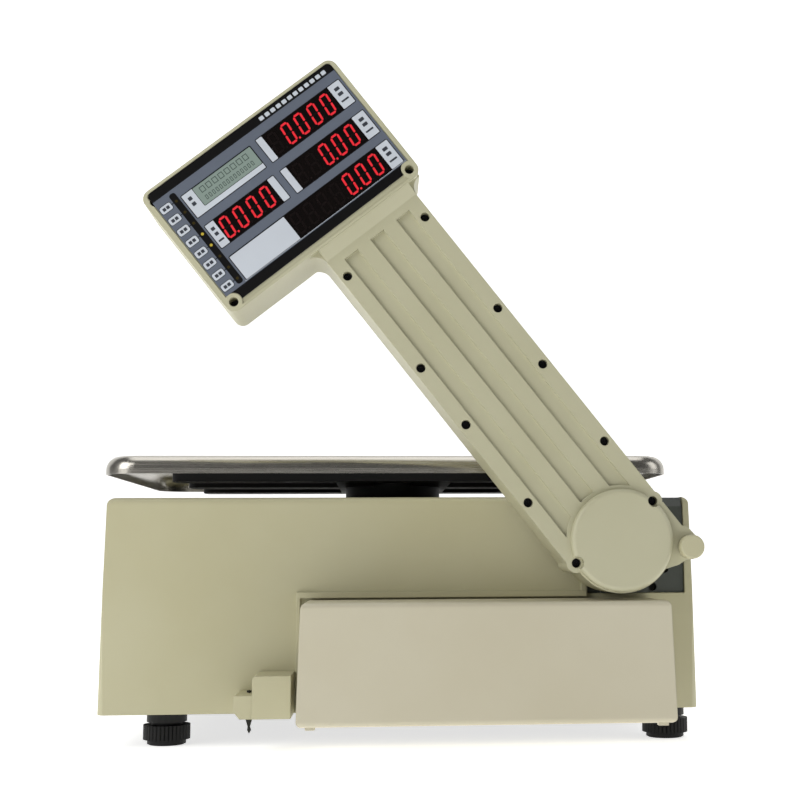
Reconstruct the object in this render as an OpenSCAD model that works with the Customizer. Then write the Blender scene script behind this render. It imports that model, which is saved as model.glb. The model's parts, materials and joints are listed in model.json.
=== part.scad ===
/* [Body] */
// Width of the body along its lower edge, mm
body_w = 385; // [375:1:440]
// Depth of the body from the customer wall to the operator wall, mm
body_d = 400; // [392:1:480]
// Height of the body without its feet, mm
body_h = 137.4; // [134:0.2:165]
// Draft of the body walls, degrees
body_draft = 1.2; // [0.8:0.1:1.6]
// Thickness of the moulded walls, mm
wall_t = 3; // [2.4:0.1:3.6]
// Radius of the upper edges of the body, mm
body_edge_r = 5; // [3:0.5:7]
// Slope of the operator deck, degrees
deck_angle = 34; // [30:1:36]

/* [Feet] */
// Height of the body's lower edge above the table, mm
foot_h = 21.2; // [20:0.2:26]
// Diameter of the knurled levelling ring, mm
foot_ring_d = 30; // [26:1:34]

/* [Platter] */
// Width of the stainless platter, mm
platter_w = 375.5; // [340:0.5:380]
// Depth of the stainless platter, mm
platter_d = 256; // [230:1:258]
// Height of the platter's turned-down rim, mm
platter_rim = 12.2; // [10:0.2:14]
// Height of the platter's top over the top of the body, mm
platter_gap = 28.3; // [26:0.1:32]

/* [Mast and head] */
// Distance from the hub centre to the top of the display head, mm
mast_len = 349.5; // [335:0.5:380]
// Width of the mast, mm
mast_w = 70.8; // [66:0.2:71]
// Thickness of the mast, mm
mast_t = 44; // [40:0.5:46]
// Lean of the mast from the vertical as it stands, degrees
mast_lean = 38.4; // [30:0.2:45]
// Width of the display head across the mast, mm
head_w = 148.2; // [144:0.2:160]
// Height of the display head along the mast, mm
head_h = 93; // [90:0.5:104]
// How far the head stands out from the mast on each side, mm
head_proud = 5.5; // [4.5:0.1:6]
// Diameter of the hub cap, mm
cap_d = 63.2; // [60:0.2:64]
// Diameter of the lock knob, mm
knob_d = 14.6; // [12:0.2:15]

/* [Label printer] */
// How far the printer cover stands out from the body, mm
box_proud = 67; // [66:0.5:76]
// Width of the printer cover, mm
box_w = 228.6; // [226:0.2:240]
// Height of the printer cover, mm
box_h = 73.1; // [71:0.1:73.4]
// Draft of the printer cover, degrees
box_draft = 1.7; // [1.2:0.1:1.8]
// Outer diameter of the full label roll, mm
roll_d = 58; // [40:1:58]
// Width of the label web, mm
label_w = 52; // [46:1:52]

/* [Hidden] */
$fn = 64;

// Where the walls stand
front = -(body_d + box_proud) / 2;
wall = front + box_proud;
back = -front;
body_z = foot_h;
top_z = body_z + body_h;
draft_k = tan(body_draft);
plate_t = 2.5;
plate_top = body_z + plate_t;
side_gap = 0.4;
run_gap = 0.05;
seat_gap = 0.1;
free_gap = 0.3;

// Hinge and its recess in the customer wall
hub_x = body_w / 2 - 58.3;
hub_z = top_z - 29.4;
recess_w = 64.6;
recess_x = hub_x - 13;
recess_z = hub_z - 33.8;
recess_d = 28;
bracket_face = wall + 3.5;
bracket_d = 22;
washer_t = 1.6;
shaft_r = 8;
bush_r = 10;

// Mast, in its own plane: across the mast, then along it from the hub
mast_half = mast_w / 2;
mast_face = wall - 56;
mast_rear = mast_face + mast_t;
mast_mid = mast_face + mast_t / 2;
head_face = mast_face - head_proud;
head_rear = mast_rear + head_proud;
head_left = -head_w * 0.686;
head_right = head_left + head_w;
head_top = mast_len;
head_low = mast_len - head_h;
head_r = 6;
neck_r = 9;
screw_v = 30.7;
screw_us = [head_low - 22.9, head_low * 0.625, head_low * 0.45, head_low * 0.2105, 6.5];
head_screw_u = head_low + 6;
head_screw_vs = [head_left + 5.7, head_right - 5.7];
screw_hole_r = 2.9;
screw_deep = 8;
boss_r = 4.6;
screw_land_r = 6;
hub_end_r = cap_d / 2 + 1;
pilot_r = 1.55;
groove_w = 10.3;
groove_pitch = 20.4;
groove_deep = 2.4;
groove_top = head_low - 13.3;
groove_arc_r = 34.2;
knob_v = 30.6;
knob_u = -29.8;
lug_r = 7.8;
pocket_r = 24;
pocket_deep = 9.5;
shell_t = 2.6;
window_in = 9;
overlay_left = head_left + 3.6;
overlay_right = head_right - 2.8;
overlay_top = head_top - 1.8;
overlay_low = head_low + 1.8;
overlay_t = 0.8;
notch_r = 5.4;

// Printer cover, left edge and lower edge
box_x = body_w / 2 - 27.6 - box_w;
box_right = box_x + box_w;
box_z = body_z - 1.9;
box_top = box_z + box_h;
box_back = wall - 1.5;
cover_t = 2.5;
box_k = tan(box_draft);
pin_x = box_right - 6.4;
pin_y = box_back - 6;
pin_r = 1.2;
ear_zs = [box_z + 16, box_z + 36];
ear_h = 6;
ear_r = 2.2;
knuckle_r = 6.4;
frame_back = wall - 0.1;
frame_t = 2;
frame_face = frame_back - frame_t;
frame_front = front + 6.4;
web_y0 = frame_front + 2;
web_a = web_y0 + 1;
platen_x = box_x + 25.7;
platen_z = box_z + 28.7;
platen_r = 8;
gear_face = frame_face - 3;
gear_t = 2.6;
head_pin_r = 2.5;
pinion_x = platen_x + 15;
roll_x = box_right - 50;
roll_z = box_z + 36.2;
rewind_x = box_x + 108;
rewind_z = box_z + 30.7;
rewind_r = 17;
lever_x = platen_x + 38;
lever_z = platen_z + 24;
spindle_r = 4;
motor_r = 17.5;

// Stepped hood beside the printer cover
hood_x = box_x - 39.9;
hood_w = 35.1;
hood_d = 37;
hood_z = body_z + 0.4;
ledge_w = 11.5;

// Platter and what carries it
platter_x = -body_w / 2 + 184.2;
platter_y = wall + 10 + platter_d / 2;
platter_top = top_z + platter_gap;
sheet_t = 1.2;
platter_edge_r = 9;
platter_corner_r = 22;
spider_x = platter_x + 3.3;
spider_z = platter_top - sheet_t - 6.5;
column_r = 35;
cell_len = 130;
cell_w = 30;
cell_h = 22;
cell_z = top_z - 50.6;
head_plate_z = top_z - 19.6;

// Operator deck
deck_y = back - 127.5;
deck_len = 132;
deck_lift = 0.05;

// One levelling foot is far in from the left edge, the other close to the right edge
foot_left = -body_w / 2 + 40.5;
foot_right = body_w / 2 - 17;
foot_front = wall + 25;
foot_back = back - 30;

function unit(v) = v / norm(v);

// Rounded convex outline: straight edges between the tangent points and a true circle at each corner
function corner_half(p, v, n) = acos(unit(p - v) * unit(n - v)) / 2;
function corner_in(p, v, n, r) = v + unit(p - v) * r / tan(corner_half(p, v, n));
function corner_mid(p, v, n, r) =
  v + unit(unit(p - v) + unit(n - v)) * r / sin(corner_half(p, v, n));

module rounded_outline(pts, radii) {
  m = len(pts);
  polygon([
    for (i = [0 : m - 1])
      for (s = [-1, 1])
        radii[i] > 0
          ? corner_in(pts[(i + s + m) % m], pts[i], pts[(i - s + m) % m], radii[i])
          : pts[i]
  ]);
  for (i = [0 : m - 1])
    if (radii[i] > 0)
      translate(corner_mid(pts[(i - 1 + m) % m], pts[i], pts[(i + 1) % m], radii[i]))
        circle(r = radii[i]);
}

module rounded_box_2d(x0, y0, x1, y1, r) {
  translate([x0 + r, y0])
    square([x1 - x0 - 2 * r, y1 - y0]);
  translate([x0, y0 + r])
    square([x1 - x0, y1 - y0 - 2 * r]);
  for (x = [x0 + r, x1 - r])
    for (y = [y0 + r, y1 - r])
      translate([x, y])
        circle(r = r);
}

// A flat piece that stands facing the customer, drawn across and up
module wall_plate(y0, y1) {
  translate([0, y1, 0])
    rotate([90, 0, 0])
      linear_extrude(y1 - y0)
        children();
}

// A flat piece in the plane of the mast, drawn across the mast and along it
module mast_plate(y0, y1) {
  translate([hub_x, y1, hub_z])
    rotate([90, 0, 0])
      rotate([0, 0, mast_lean])
        linear_extrude(y1 - y0)
          children();
}

module side_plate(x0, x1) {
  translate([x0, 0, 0])
    rotate([90, 0, 90])
      linear_extrude(x1 - x0)
        children();
}

module rod_y(x, z, y0, y1, r) {
  translate([x, y1, z])
    rotate([90, 0, 0])
      cylinder(r = r, h = y1 - y0);
}

module block(x0, y0, z0, x1, y1, z1) {
  translate([x0, y0, z0])
    cube([x1 - x0, y1 - y0, z1 - z0]);
}

module on_deck() {
  translate([0, deck_y, top_z])
    rotate([-deck_angle, 0, 0])
      children();
}

// The body as a drafted solid, moved inward by t on every side but the open bottom
module body_solid(t) {
  low = t > 0 ? body_z - 2 : body_z;
  half = body_w / 2 - t;
  over = (body_z - low) * draft_k;
  half_top = half - (body_h - t) * draft_k;
  deck_k = tan(deck_angle);
  turn = tan(deck_angle / 2) * t;
  lip_y = back - 7 - t;
  lip_z = top_z - t - (lip_y - deck_y + turn) * deck_k;
  r = max(body_edge_r - t, 1);
  intersection() {
    wall_plate(wall - 1, back + 1)
      rounded_outline(
        [[half + over, low], [half_top, top_z - t], [-half_top, top_z - t], [-half - over, low]],
        [0, r, r, 0]
      );
    side_plate(-body_w, body_w)
      rounded_outline(
        [
          [wall + t - over, low], [wall + t + (body_h - t) * draft_k, top_z - t],
          [deck_y - turn, top_z - t], [lip_y, lip_z], [back - t, low]
        ],
        [0, r, 0, r, 0]
      );
    translate([0, 0, low])
      linear_extrude(body_h + 10)
        rounded_box_2d(-body_w / 2 - 1 + t, wall - 1 + t, body_w / 2 + 1 - t, back + 1 - t, 9);
  }
}

module case_shell() {
  post_ys = [wall + 60, (wall + back) / 2, foot_back - 19.5];
  color([0.72, 0.70, 0.59])
    difference() {
      union() {
        difference() {
          body_solid(0);
          body_solid(wall_t);
        }
        intersection() {
          body_solid(0);
          union() {
            // Closed pocket behind the hinge recess
            block(recess_x - wall_t, wall, recess_z - wall_t,
                  recess_x + recess_w + wall_t, wall + recess_d + wall_t, top_z);
            // Upright pad behind the print motor
            block(pinion_x - 24, wall, box_z + 6, pinion_x + 24, wall + 5, box_top - 4);
            for (s = [-1, 1])
              for (y = post_ys)
                block(s > 0 ? body_w / 2 - 14 : -body_w / 2, y - 5, plate_top,
                      s > 0 ? body_w / 2 : -body_w / 2 + 14, y + 5, plate_top + 30);
          }
        }
        // Collar round the opening under the platter
        translate([spider_x, platter_y, top_z - wall_t])
          cylinder(r = column_r + 9, h = wall_t + 3);
        // Upright pad that the printer frame is screwed to
        block(box_x + 6, wall - 0.1, box_z + 4.5, box_right - 7, wall + 2, box_top - 3);
        // Lip over and beside the printer cover
        block(box_x - 4, wall - 2, box_top + 1.2, recess_x - 1, wall + wall_t, box_top + 5);
        block(box_x - 4, wall - 2, body_z, box_x - 1.7, wall + wall_t, box_top + 5);
        block(recess_x - 4.2, wall - 1.2, box_top + 5, recess_x - 1, wall + wall_t, box_top + 14);
      }
      block(recess_x, wall - 5, recess_z, recess_x + recess_w, wall + recess_d, top_z + 5);
      translate([spider_x, platter_y, top_z - wall_t - 1])
        cylinder(r = column_r + 6, h = wall_t + 6);
      // Shaft hole of the print motor
      rod_y(pinion_x, platen_z, wall - 5, wall + 10, 4.5);
      // Openings of the right wall
      block(body_w / 2 - 12, inlet_y - 14.2, inlet_z - 10.7, body_w / 2 + 5, inlet_y + 14.2, inlet_z + 10.7);
      block(body_w / 2 - 1.6, inlet_y - 20.3, inlet_z - 13.3, body_w / 2 + 5, inlet_y + 20.3, inlet_z + 13.3);
      block(body_w / 2 - 12, switch_y - 7.2, inlet_z - 10.2, body_w / 2 + 5, switch_y + 7.2, inlet_z + 10.2);
      for (y = port_ys)
        block(body_w / 2 - 12, y - 8.4, inlet_z - 7.4, body_w / 2 + 5, y + 8.4, inlet_z + 7.4);
      // Hole of the seal's level bubble
      translate([vial_x, vial_y, top_z - 10])
        cylinder(r = vial_r + seat_gap, h = 20);
    }
}

inlet_y = foot_back - 40;
inlet_z = body_z + 34;
switch_y = inlet_y - 42;
port_ys = [switch_y - 50, switch_y - 74];
inlet_x = body_w / 2 - 34 * draft_k;
vial_r = 8;
vial_x = platter_x + 120;
vial_y = platter_y + 70;

module foot_places() {
  for (x = [foot_left, foot_right])
    for (y = [foot_front, foot_back])
      translate([x, y, 0])
        children();
}

collar_z = body_z - 6.6;

module base_plate() {
  color([0.16, 0.16, 0.16])
    difference() {
      union() {
        translate([0, 0, body_z])
          linear_extrude(plate_t)
            rounded_box_2d(-body_w / 2 + wall_t + side_gap, wall + wall_t + side_gap,
                           body_w / 2 - wall_t - side_gap, back - wall_t - 3 * side_gap, 7);
        intersection() {
          foot_places()
            translate([0, 0, collar_z])
              cylinder(r = 12.8, h = plate_top + 12 - collar_z);
          block(-body_w / 2 + wall_t + side_gap, wall, 0, body_w / 2 - wall_t - side_gap, back - wall_t, 60);
        }
      }
      foot_places()
        translate([0, 0, collar_z - 1])
          cylinder(r = 5 + run_gap, h = 24);
    }
}

module foot(x, y) {
  ring_z = foot_h - 17.75;
  ring_h = 9.3;
  ribs = 36;
  color([0.08, 0.08, 0.08])
    translate([x, y, 0])
      union() {
        cylinder(r = 11.2, h = 1);
        translate([0, 0, 0.6])
          cylinder(r = 12.4, h = ring_z);
        difference() {
          translate([0, 0, ring_z])
            cylinder(r = foot_ring_d / 2, h = ring_h);
          for (i = [0 : ribs - 1])
            rotate([0, 0, i * 360 / ribs])
              translate([foot_ring_d / 2 + 0.15, 0, ring_z - 1])
                rotate([0, 0, 45])
                  cube([1.1, 1.1, ring_h + 2]);
        }
        translate([0, 0, ring_z + ring_h])
          cylinder(r = 9.6, h = collar_z - free_gap - ring_z - ring_h);
        cylinder(r = 5, h = collar_z + 14);
      }
}

module foot_front_left() {
  foot(foot_left, foot_front);
}

module foot_front_right() {
  foot(foot_right, foot_front);
}

module foot_back_left() {
  foot(foot_left, foot_back);
}

module foot_back_right() {
  foot(foot_right, foot_back);
}

bezel_w = body_w * 0.86;
bezel_t = 2;

module keypad_bezel() {
  color([0.30, 0.31, 0.32])
    on_deck()
      difference() {
        translate([0, 0, deck_lift])
          linear_extrude(bezel_t)
            rounded_box_2d(-bezel_w / 2, 8, bezel_w / 2, deck_len, 6);
        translate([0, 0, deck_lift + bezel_t - 1])
          linear_extrude(2)
            rounded_box_2d(-bezel_w / 2 + 5, 13, bezel_w / 2 - 5, deck_len - 5, 4);
      }
}

module keypad_membrane() {
  cols = 14;
  rows = 5;
  key_w = (bezel_w - 26) / cols;
  key_h = (deck_len - 32) / rows;
  color([0.55, 0.60, 0.66])
    on_deck()
      union() {
        translate([0, 0, deck_lift + bezel_t - 1])
          linear_extrude(1)
            rounded_box_2d(-bezel_w / 2 + 5 + seat_gap, 13 + seat_gap,
                           bezel_w / 2 - 5 - seat_gap, deck_len - 5 - seat_gap, 4);
        translate([0, 0, bezel_t - 0.2])
          linear_extrude(0.7)
            for (i = [0 : cols - 1])
              for (j = [0 : rows - 1])
                translate([(i - cols / 2) * key_w + 1.5, 20 + j * key_h])
                  square([key_w - 3, key_h - 3]);
      }
}

module keypad_board() {
  color([0.10, 0.35, 0.20])
    on_deck()
      union() {
        translate([-bezel_w / 2 + 12, 18, -wall_t - 5.6])
          cube([bezel_w - 24, deck_len - 30, 1.6]);
        for (x = [-bezel_w / 2 + 20, 0, bezel_w / 2 - 20])
          for (y = [26, deck_len - 22])
            translate([x, y, -wall_t - 4.2])
              cylinder(r = 3, h = 4.1);
      }
}

module main_board() {
  x0 = -body_w / 2 + 26;
  y0 = wall + 60;
  color([0.10, 0.35, 0.20])
    union() {
      block(x0, y0, plate_top + 9, x0 + 85, y0 + 150, plate_top + 10.6);
      for (x = [x0 + 6, x0 + 79])
        for (y = [y0 + 6, y0 + 144])
          translate([x, y, plate_top])
            cylinder(r = 3, h = 9.5);
      block(x0 + 14, y0 + 20, plate_top + 10, x0 + 44, y0 + 50, plate_top + 13);
      block(x0 + 50, y0 + 30, plate_top + 10, x0 + 70, y0 + 46, plate_top + 13);
      block(x0 + 10, y0 + 70, plate_top + 10, x0 + 74, y0 + 78, plate_top + 20);
      for (i = [0 : 3])
        translate([x0 + 18 + i * 15, y0 + 110, plate_top + 10])
          cylinder(r = 5, h = 16);
    }
}

module power_supply() {
  x1 = body_w / 2 - 40;
  y1 = back - 48;
  color([0.62, 0.63, 0.62])
    difference() {
      block(x1 - 90, y1 - 125, plate_top, x1, y1, plate_top + 34);
      for (i = [0 : 9])
        block(x1 - 80, y1 - 112 + i * 11, plate_top + 31, x1 - 20, y1 - 107 + i * 11, plate_top + 36);
    }
}

module power_inlet() {
  color([0.07, 0.07, 0.07])
    difference() {
      union() {
        block(inlet_x - 24, inlet_y - 13.8, inlet_z - 10.3, inlet_x + 0.4, inlet_y + 13.8, inlet_z + 10.3);
        block(body_w / 2 - 1.5, inlet_y - 20, inlet_z - 13, body_w / 2 - 0.1, inlet_y + 20, inlet_z + 13);
      }
      block(inlet_x - 16, inlet_y - 11, inlet_z - 7.5, inlet_x + 3, inlet_y + 11, inlet_z + 7.5);
    }
  color([0.75, 0.75, 0.72])
    for (y = [-6, 0, 6])
      block(inlet_x - 16.5, inlet_y + y - 1, inlet_z - 2.5, inlet_x - 3, inlet_y + y + 1, inlet_z + 2.5);
}

switch_in = 7.8;
rocker_tilt = 8;

module power_switch() {
  color([0.07, 0.07, 0.07])
    translate([inlet_x - switch_in, switch_y, inlet_z])
      rotate([0, rocker_tilt, 0])
      difference() {
        intersection() {
          rotate([90, 0, 0])
            translate([0, 0, -5.8])
              cylinder(r = 9.4, h = 11.6);
          union() {
            rotate([0, 9, 0])
              translate([-3, -6, -9])
                cube([10.2, 12, 9]);
            rotate([0, -9, 0])
              translate([-3, -6, 0])
                cube([10.2, 12, 9]);
          }
        }
        rotate([90, 0, 0])
          translate([0, 0, -10])
            cylinder(r = 1.5 + run_gap, h = 20);
      }
}

module data_ports() {
  color([0.60, 0.61, 0.60])
    difference() {
      union() {
        for (y = port_ys)
          block(inlet_x - 22, y - 8, inlet_z - 7, inlet_x + 0.4, y + 8, inlet_z + 7);
        block(inlet_x - 24, port_ys[1] - 12, inlet_z - 9, inlet_x - 22, port_ys[0] + 12, inlet_z + 9);
        // Rocker housing shares the same carrier
        block(inlet_x - 24, port_ys[0] + 12, inlet_z - 9, inlet_x - 22, switch_y + 12, inlet_z + 9);
        for (s = [-1, 1])
          block(inlet_x - 23, switch_y + s * 6.55 - 0.45, inlet_z - 3, inlet_x - 2, switch_y + s * 6.55 + 0.45,
                inlet_z + 3);
        rod_y(inlet_x - switch_in, inlet_z, switch_y - 6.9, switch_y + 6.9, 1.5);
      }
      for (y = port_ys)
        block(inlet_x - 14, y - 6, inlet_z - 4.5, inlet_x + 3, y + 6, inlet_z + 4.5);
    }
}

module load_cell() {
  color([0.75, 0.76, 0.77])
    translate([spider_x - cell_len / 2, platter_y - cell_w / 2, cell_z])
      difference() {
        cube([cell_len, cell_w, cell_h]);
        for (x = [cell_len / 2 - 16, cell_len / 2 + 16])
          translate([x, cell_w + 1, cell_h / 2])
            rotate([90, 0, 0])
              cylinder(r = 8, h = cell_w + 2);
        translate([cell_len / 2 - 16, -1, cell_h / 2 - 3])
          cube([32, cell_w + 2, 6]);
      }
}

module load_cell_foot() {
  x0 = spider_x - cell_len / 2;
  color([0.55, 0.56, 0.56])
    union() {
      block(x0, platter_y - cell_w / 2, plate_top, x0 + 35, platter_y + cell_w / 2, cell_z);
      block(x0 - 25, platter_y - 45, plate_top, x0 + 60, platter_y + 45, plate_top + 8);
      for (s = [-1, 1])
        block(x0 + 5, platter_y + s * 29 - 14.5, plate_top + 7, x0 + 12, platter_y + s * 29 + 14.5, cell_z - 30);
    }
}

module load_cell_head() {
  x1 = spider_x + cell_len / 2;
  color([0.55, 0.56, 0.56])
    union() {
      block(x1 - 35, platter_y - cell_w / 2, cell_z + cell_h, x1, platter_y + cell_w / 2, head_plate_z + 1);
      translate([0, 0, head_plate_z])
        linear_extrude(6)
          rounded_box_2d(spider_x - 42, platter_y - 34, x1 + 2, platter_y + 34, 8);
    }
}

module level_vial() {
  color([0.75, 0.85, 0.35])
    translate([vial_x, vial_y, top_z - 7])
      union() {
        cylinder(r = vial_r, h = 7);
        translate([0, 0, 7])
          cylinder(r = vial_r + 2.5, h = 1.2);
      }
}

// Half section of the platter's turned-down edge, out from the centre of a corner
module rim_section(corner, t) {
  r = platter_edge_r - t;
  square([corner, platter_rim - t]);
  square([corner + platter_edge_r - t, platter_rim - platter_edge_r]);
  intersection() {
    translate([corner, platter_rim - platter_edge_r])
      circle(r = r);
    square([corner + platter_edge_r, platter_rim]);
  }
}

// The platter as a solid, moved inward by t on every side but the open bottom
module tray_solid(t) {
  corner = platter_corner_r - platter_edge_r;
  half_w = platter_w / 2 - platter_corner_r;
  half_d = platter_d / 2 - platter_corner_r;
  translate([platter_x, platter_y, platter_top - platter_rim])
    union() {
      translate([-half_w - corner, -half_d, 0])
        cube([2 * half_w + 2 * corner, 2 * half_d, platter_rim - t]);
      translate([-half_w, -half_d - corner, 0])
        cube([2 * half_w, 2 * half_d + 2 * corner, platter_rim - t]);
      for (s = [-1, 1]) {
        for (q = [-1, 1])
          translate([s * half_w, q * half_d, 0])
            rotate_extrude()
              rim_section(corner, t);
        translate([s * half_w, 0, 0])
          rotate([90, 0, s > 0 ? 0 : 180])
            translate([0, 0, -half_d])
              linear_extrude(2 * half_d)
                rim_section(corner, t);
        translate([0, s * half_d, 0])
          rotate([90, 0, s > 0 ? 90 : -90])
            translate([0, 0, -half_w])
              linear_extrude(2 * half_w)
                rim_section(corner, t);
      }
    }
}

module platter() {
  color([0.68, 0.67, 0.63])
    difference() {
      tray_solid(0);
      difference() {
        tray_solid(sheet_t);
        block(-body_w, -body_d, 0, body_w, body_d, platter_top - platter_rim - 1);
      }
    }
}

module platter_spider() {
  arm_h = 8;
  color([0.09, 0.09, 0.09])
    union() {
      difference() {
        translate([spider_x, platter_y, head_plate_z + 6])
          cylinder(r = column_r, h = spider_z - head_plate_z - 6);
        translate([spider_x, platter_y, head_plate_z + 10])
          cylinder(r = column_r - 5, h = 60);
      }
      translate([0, 0, spider_z - arm_h])
        linear_extrude(arm_h)
          union() {
            for (s = [-1, 1])
              rounded_box_2d(spider_x - 150, platter_y + s * 84 - 12, spider_x + 140, platter_y + s * 84 + 12, 6);
            rounded_box_2d(spider_x - 40, platter_y - 96, spider_x - 14, platter_y + 96, 6);
            rounded_box_2d(spider_x + 14, platter_y - 96, spider_x + 40, platter_y + 96, 6);
            rounded_box_2d(spider_x - 150, platter_y - 14, spider_x + 140, platter_y + 14, 6);
          }
    }
}

module spider_pads() {
  color([0.05, 0.05, 0.05])
    for (x = [spider_x - 138, spider_x + 128])
      for (y = [platter_y - 84, platter_y + 84])
        translate([x, y, spider_z])
          cylinder(r = 8, h = platter_top - sheet_t - spider_z);
}

// Lock holes in the bracket lie on the circle that the lock pin sweeps
lock_r = norm([knob_v, knob_u]);
lock_step = mast_lean / 2;
rest_dir = atan2(knob_u, knob_v) + mast_lean;
lock_pin_r = 2.5;
boss_out_r = 24;

module hinge_bracket() {
  chamfer = 6;
  x0 = recess_x + 0.3;
  x1 = recess_x + recess_w - 0.3;
  y1 = bracket_face + bracket_d;
  color([0.22, 0.23, 0.22])
    difference() {
      union() {
        side_plate(x0, x1)
          polygon([
            [bracket_face, recess_z + 0.3], [bracket_face, top_z - 0.4 - chamfer],
            [bracket_face + chamfer, top_z - 0.4], [y1, top_z - 0.4], [y1, recess_z + 0.3]
          ]);
      }
      rod_y(hub_x, hub_z, mast_rear - 5, y1 - 4, shaft_r + run_gap);
      for (k = [-2 : 1])
        rod_y(hub_x + lock_r * cos(rest_dir + k * lock_step),
              hub_z + lock_r * sin(rest_dir + k * lock_step),
              bracket_face - 8, bracket_face + 9, lock_pin_r + 0.3);
      // Weight-saving pocket at the back
      block(x0 + 4, y1 - 8, recess_z + 5, x1 - 4, y1 + 2, hub_z - 26);
    }
}

// Boss that spaces the mast from the bracket, and the rest bar under it
module hinge_blocks() {
  x0 = recess_x + 0.3;
  x1 = recess_x + recess_w - 0.3;
  color([0.22, 0.23, 0.22])
    union() {
      difference() {
        union() {
          rod_y(hub_x, hub_z, mast_rear + 0.2 + washer_t, wall - 0.3, boss_out_r);
          intersection() {
            rod_y(hub_x, hub_z, wall - 1, bracket_face, boss_out_r);
            block(x0, wall - 5, recess_z, x1, bracket_face, top_z);
          }
        }
        rod_y(hub_x, hub_z, mast_rear - 5, bracket_face + 5, shaft_r + run_gap);
      }
      block(x0 + 8, bracket_face - 6, recess_z + 0.3, hub_x + knob_v - lock_pin_r - 2, bracket_face, recess_z + 5);
    }
}

module hinge_shaft() {
  color([0.72, 0.73, 0.74])
    union() {
      rod_y(hub_x, hub_z, mast_face + 3.4, bracket_face + bracket_d - 4.5, shaft_r);
      translate([hub_x, mast_face + pocket_deep - free_gap, hub_z])
        rotate([90, 0, 0])
          cylinder(r = 13, h = 5, $fn = 6);
    }
}

module friction_washer() {
  color([0.35, 0.30, 0.22])
    difference() {
      rod_y(hub_x, hub_z, mast_rear + 0.2, mast_rear + 0.2 + washer_t, 22);
      rod_y(hub_x, hub_z, mast_rear - 1, mast_rear + 6, shaft_r + run_gap);
    }
}

// Outline of the mast with its head, hub and lug, moved inward by t
module head_outline(t) {
  rounded_box_2d(head_left + t, head_low + t, head_right - t, head_top - t, max(head_r - t, 2));
}

module strip_outline(t) {
  translate([-mast_half + t, screw_us[4]])
    square([mast_w - 2 * t, head_low + 6 - screw_us[4]]);
  for (s = [-1, 1])
    translate([s * screw_v, screw_us[4]])
      circle(r = screw_land_r - t);
  circle(r = hub_end_r - t);
}

module lug_outline() {
  polygon([
    [0, 0], [mast_half, 2], [mast_half, knob_u + 13], [knob_v + 7, knob_u + 11],
    [knob_v + lug_r, knob_u], [knob_v, knob_u - lug_r], [knob_v - 5.8, knob_u - 5],
    [knob_v - 12, knob_u - 4.4], [9, -30.5]
  ]);
  translate([knob_v, knob_u])
    circle(r = lug_r);
}

module neck_outline() {
  difference() {
    translate([-mast_half - neck_r, head_low - neck_r])
      square([neck_r + 4, neck_r + 4]);
    translate([-mast_half - neck_r, head_low - neck_r])
      circle(r = neck_r);
  }
  difference() {
    translate([mast_half - 4, head_low - neck_r])
      square([neck_r + 4, neck_r + 4]);
    translate([mast_half + neck_r, head_low - neck_r])
      circle(r = neck_r);
  }
}

module mast_outline() {
  head_outline(0);
  strip_outline(0);
  lug_outline();
  neck_outline();
}

module mast_cavity(t) {
  head_outline(t);
  strip_outline(t);
}

module all_screw_places() {
  for (s = [-1, 1])
    for (u = screw_us)
      translate([s * screw_v, u])
        children();
  for (v = head_screw_vs)
    for (u = [head_screw_u, head_top - 8])
      translate([v, u])
        children();
}

module groove_shapes() {
  for (i = [-1 : 1])
    difference() {
      translate([i * groove_pitch - groove_w / 2, 0])
        square([groove_w, groove_top]);
      circle(r = groove_arc_r);
    }
}

module overlay_outline(g) {
  difference() {
    rounded_box_2d(overlay_left + g, overlay_low + g, overlay_right - g, overlay_top - g, 3);
    for (v = head_screw_vs)
      translate([v, head_screw_u])
        circle(r = notch_r + g);
  }
}

// Sloped shoulder between the face of the head and the face of the mast
module shoulder(face, rear) {
  s = face < rear ? 1 : -1;
  intersection() {
    translate([hub_x, 0, hub_z])
      rotate([0, -mast_lean, 0])
        rotate([90, 0, 90])
          translate([0, 0, -mast_half])
            linear_extrude(mast_w)
              polygon([
                [face, head_low + 2], [face + s * 0.4, head_low + 1], [rear, head_low - 8], [rear + s * 1, head_low - 8],
                [rear + s * 1, head_low + 2]
              ]);
  }
}

module mast_front_shell() {
  inner = mast_face + shell_t;
  color([0.72, 0.71, 0.59])
    difference() {
      union() {
        mast_plate(mast_face, mast_mid)
          mast_outline();
        mast_plate(head_face, mast_face + 1)
          head_outline(0);
        shoulder(head_face, mast_face);
      }
      difference() {
        union() {
          mast_plate(inner + groove_deep * 0.5, mast_mid + 1)
            strip_outline(shell_t);
          mast_plate(head_face + shell_t, mast_mid + 1)
            head_outline(shell_t);
        }
        mast_plate(head_face, mast_mid + 2)
          union() {
            all_screw_places()
              circle(r = boss_r);
            circle(r = pocket_r + 3);
          }
      }
      mast_plate(head_face - 1, head_face + overlay_t)
        overlay_outline(0);
      // Window behind the overlay
      mast_plate(head_face - 1, head_face + shell_t + 1)
        square_window();
      mast_plate(mast_face - 1, mast_face + groove_deep)
        groove_shapes();
      mast_plate(mast_face - 10, mast_face + pocket_deep)
        circle(r = pocket_r);
      mast_plate(mast_face, mast_mid + 5)
        circle(r = bush_r + run_gap);
      mast_plate(head_face - 2, mast_face + screw_deep)
        all_screw_places()
          circle(r = screw_hole_r);
      mast_plate(mast_face, mast_mid + 5)
        all_screw_places()
          circle(r = pilot_r);
      mast_plate(mast_face - 1, mast_rear + 1)
        translate([knob_v, knob_u])
          circle(r = 3 + run_gap);
      mast_plate(mast_face + spring_in, mast_mid + 1)
        translate([knob_v, knob_u])
          circle(r = spring_bore_r);
    }
}

module square_window() {
  translate([overlay_left + window_in, overlay_low + window_in])
    square([overlay_right - overlay_left - 2 * window_in, overlay_top - overlay_low - 2 * window_in]);
}

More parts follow.
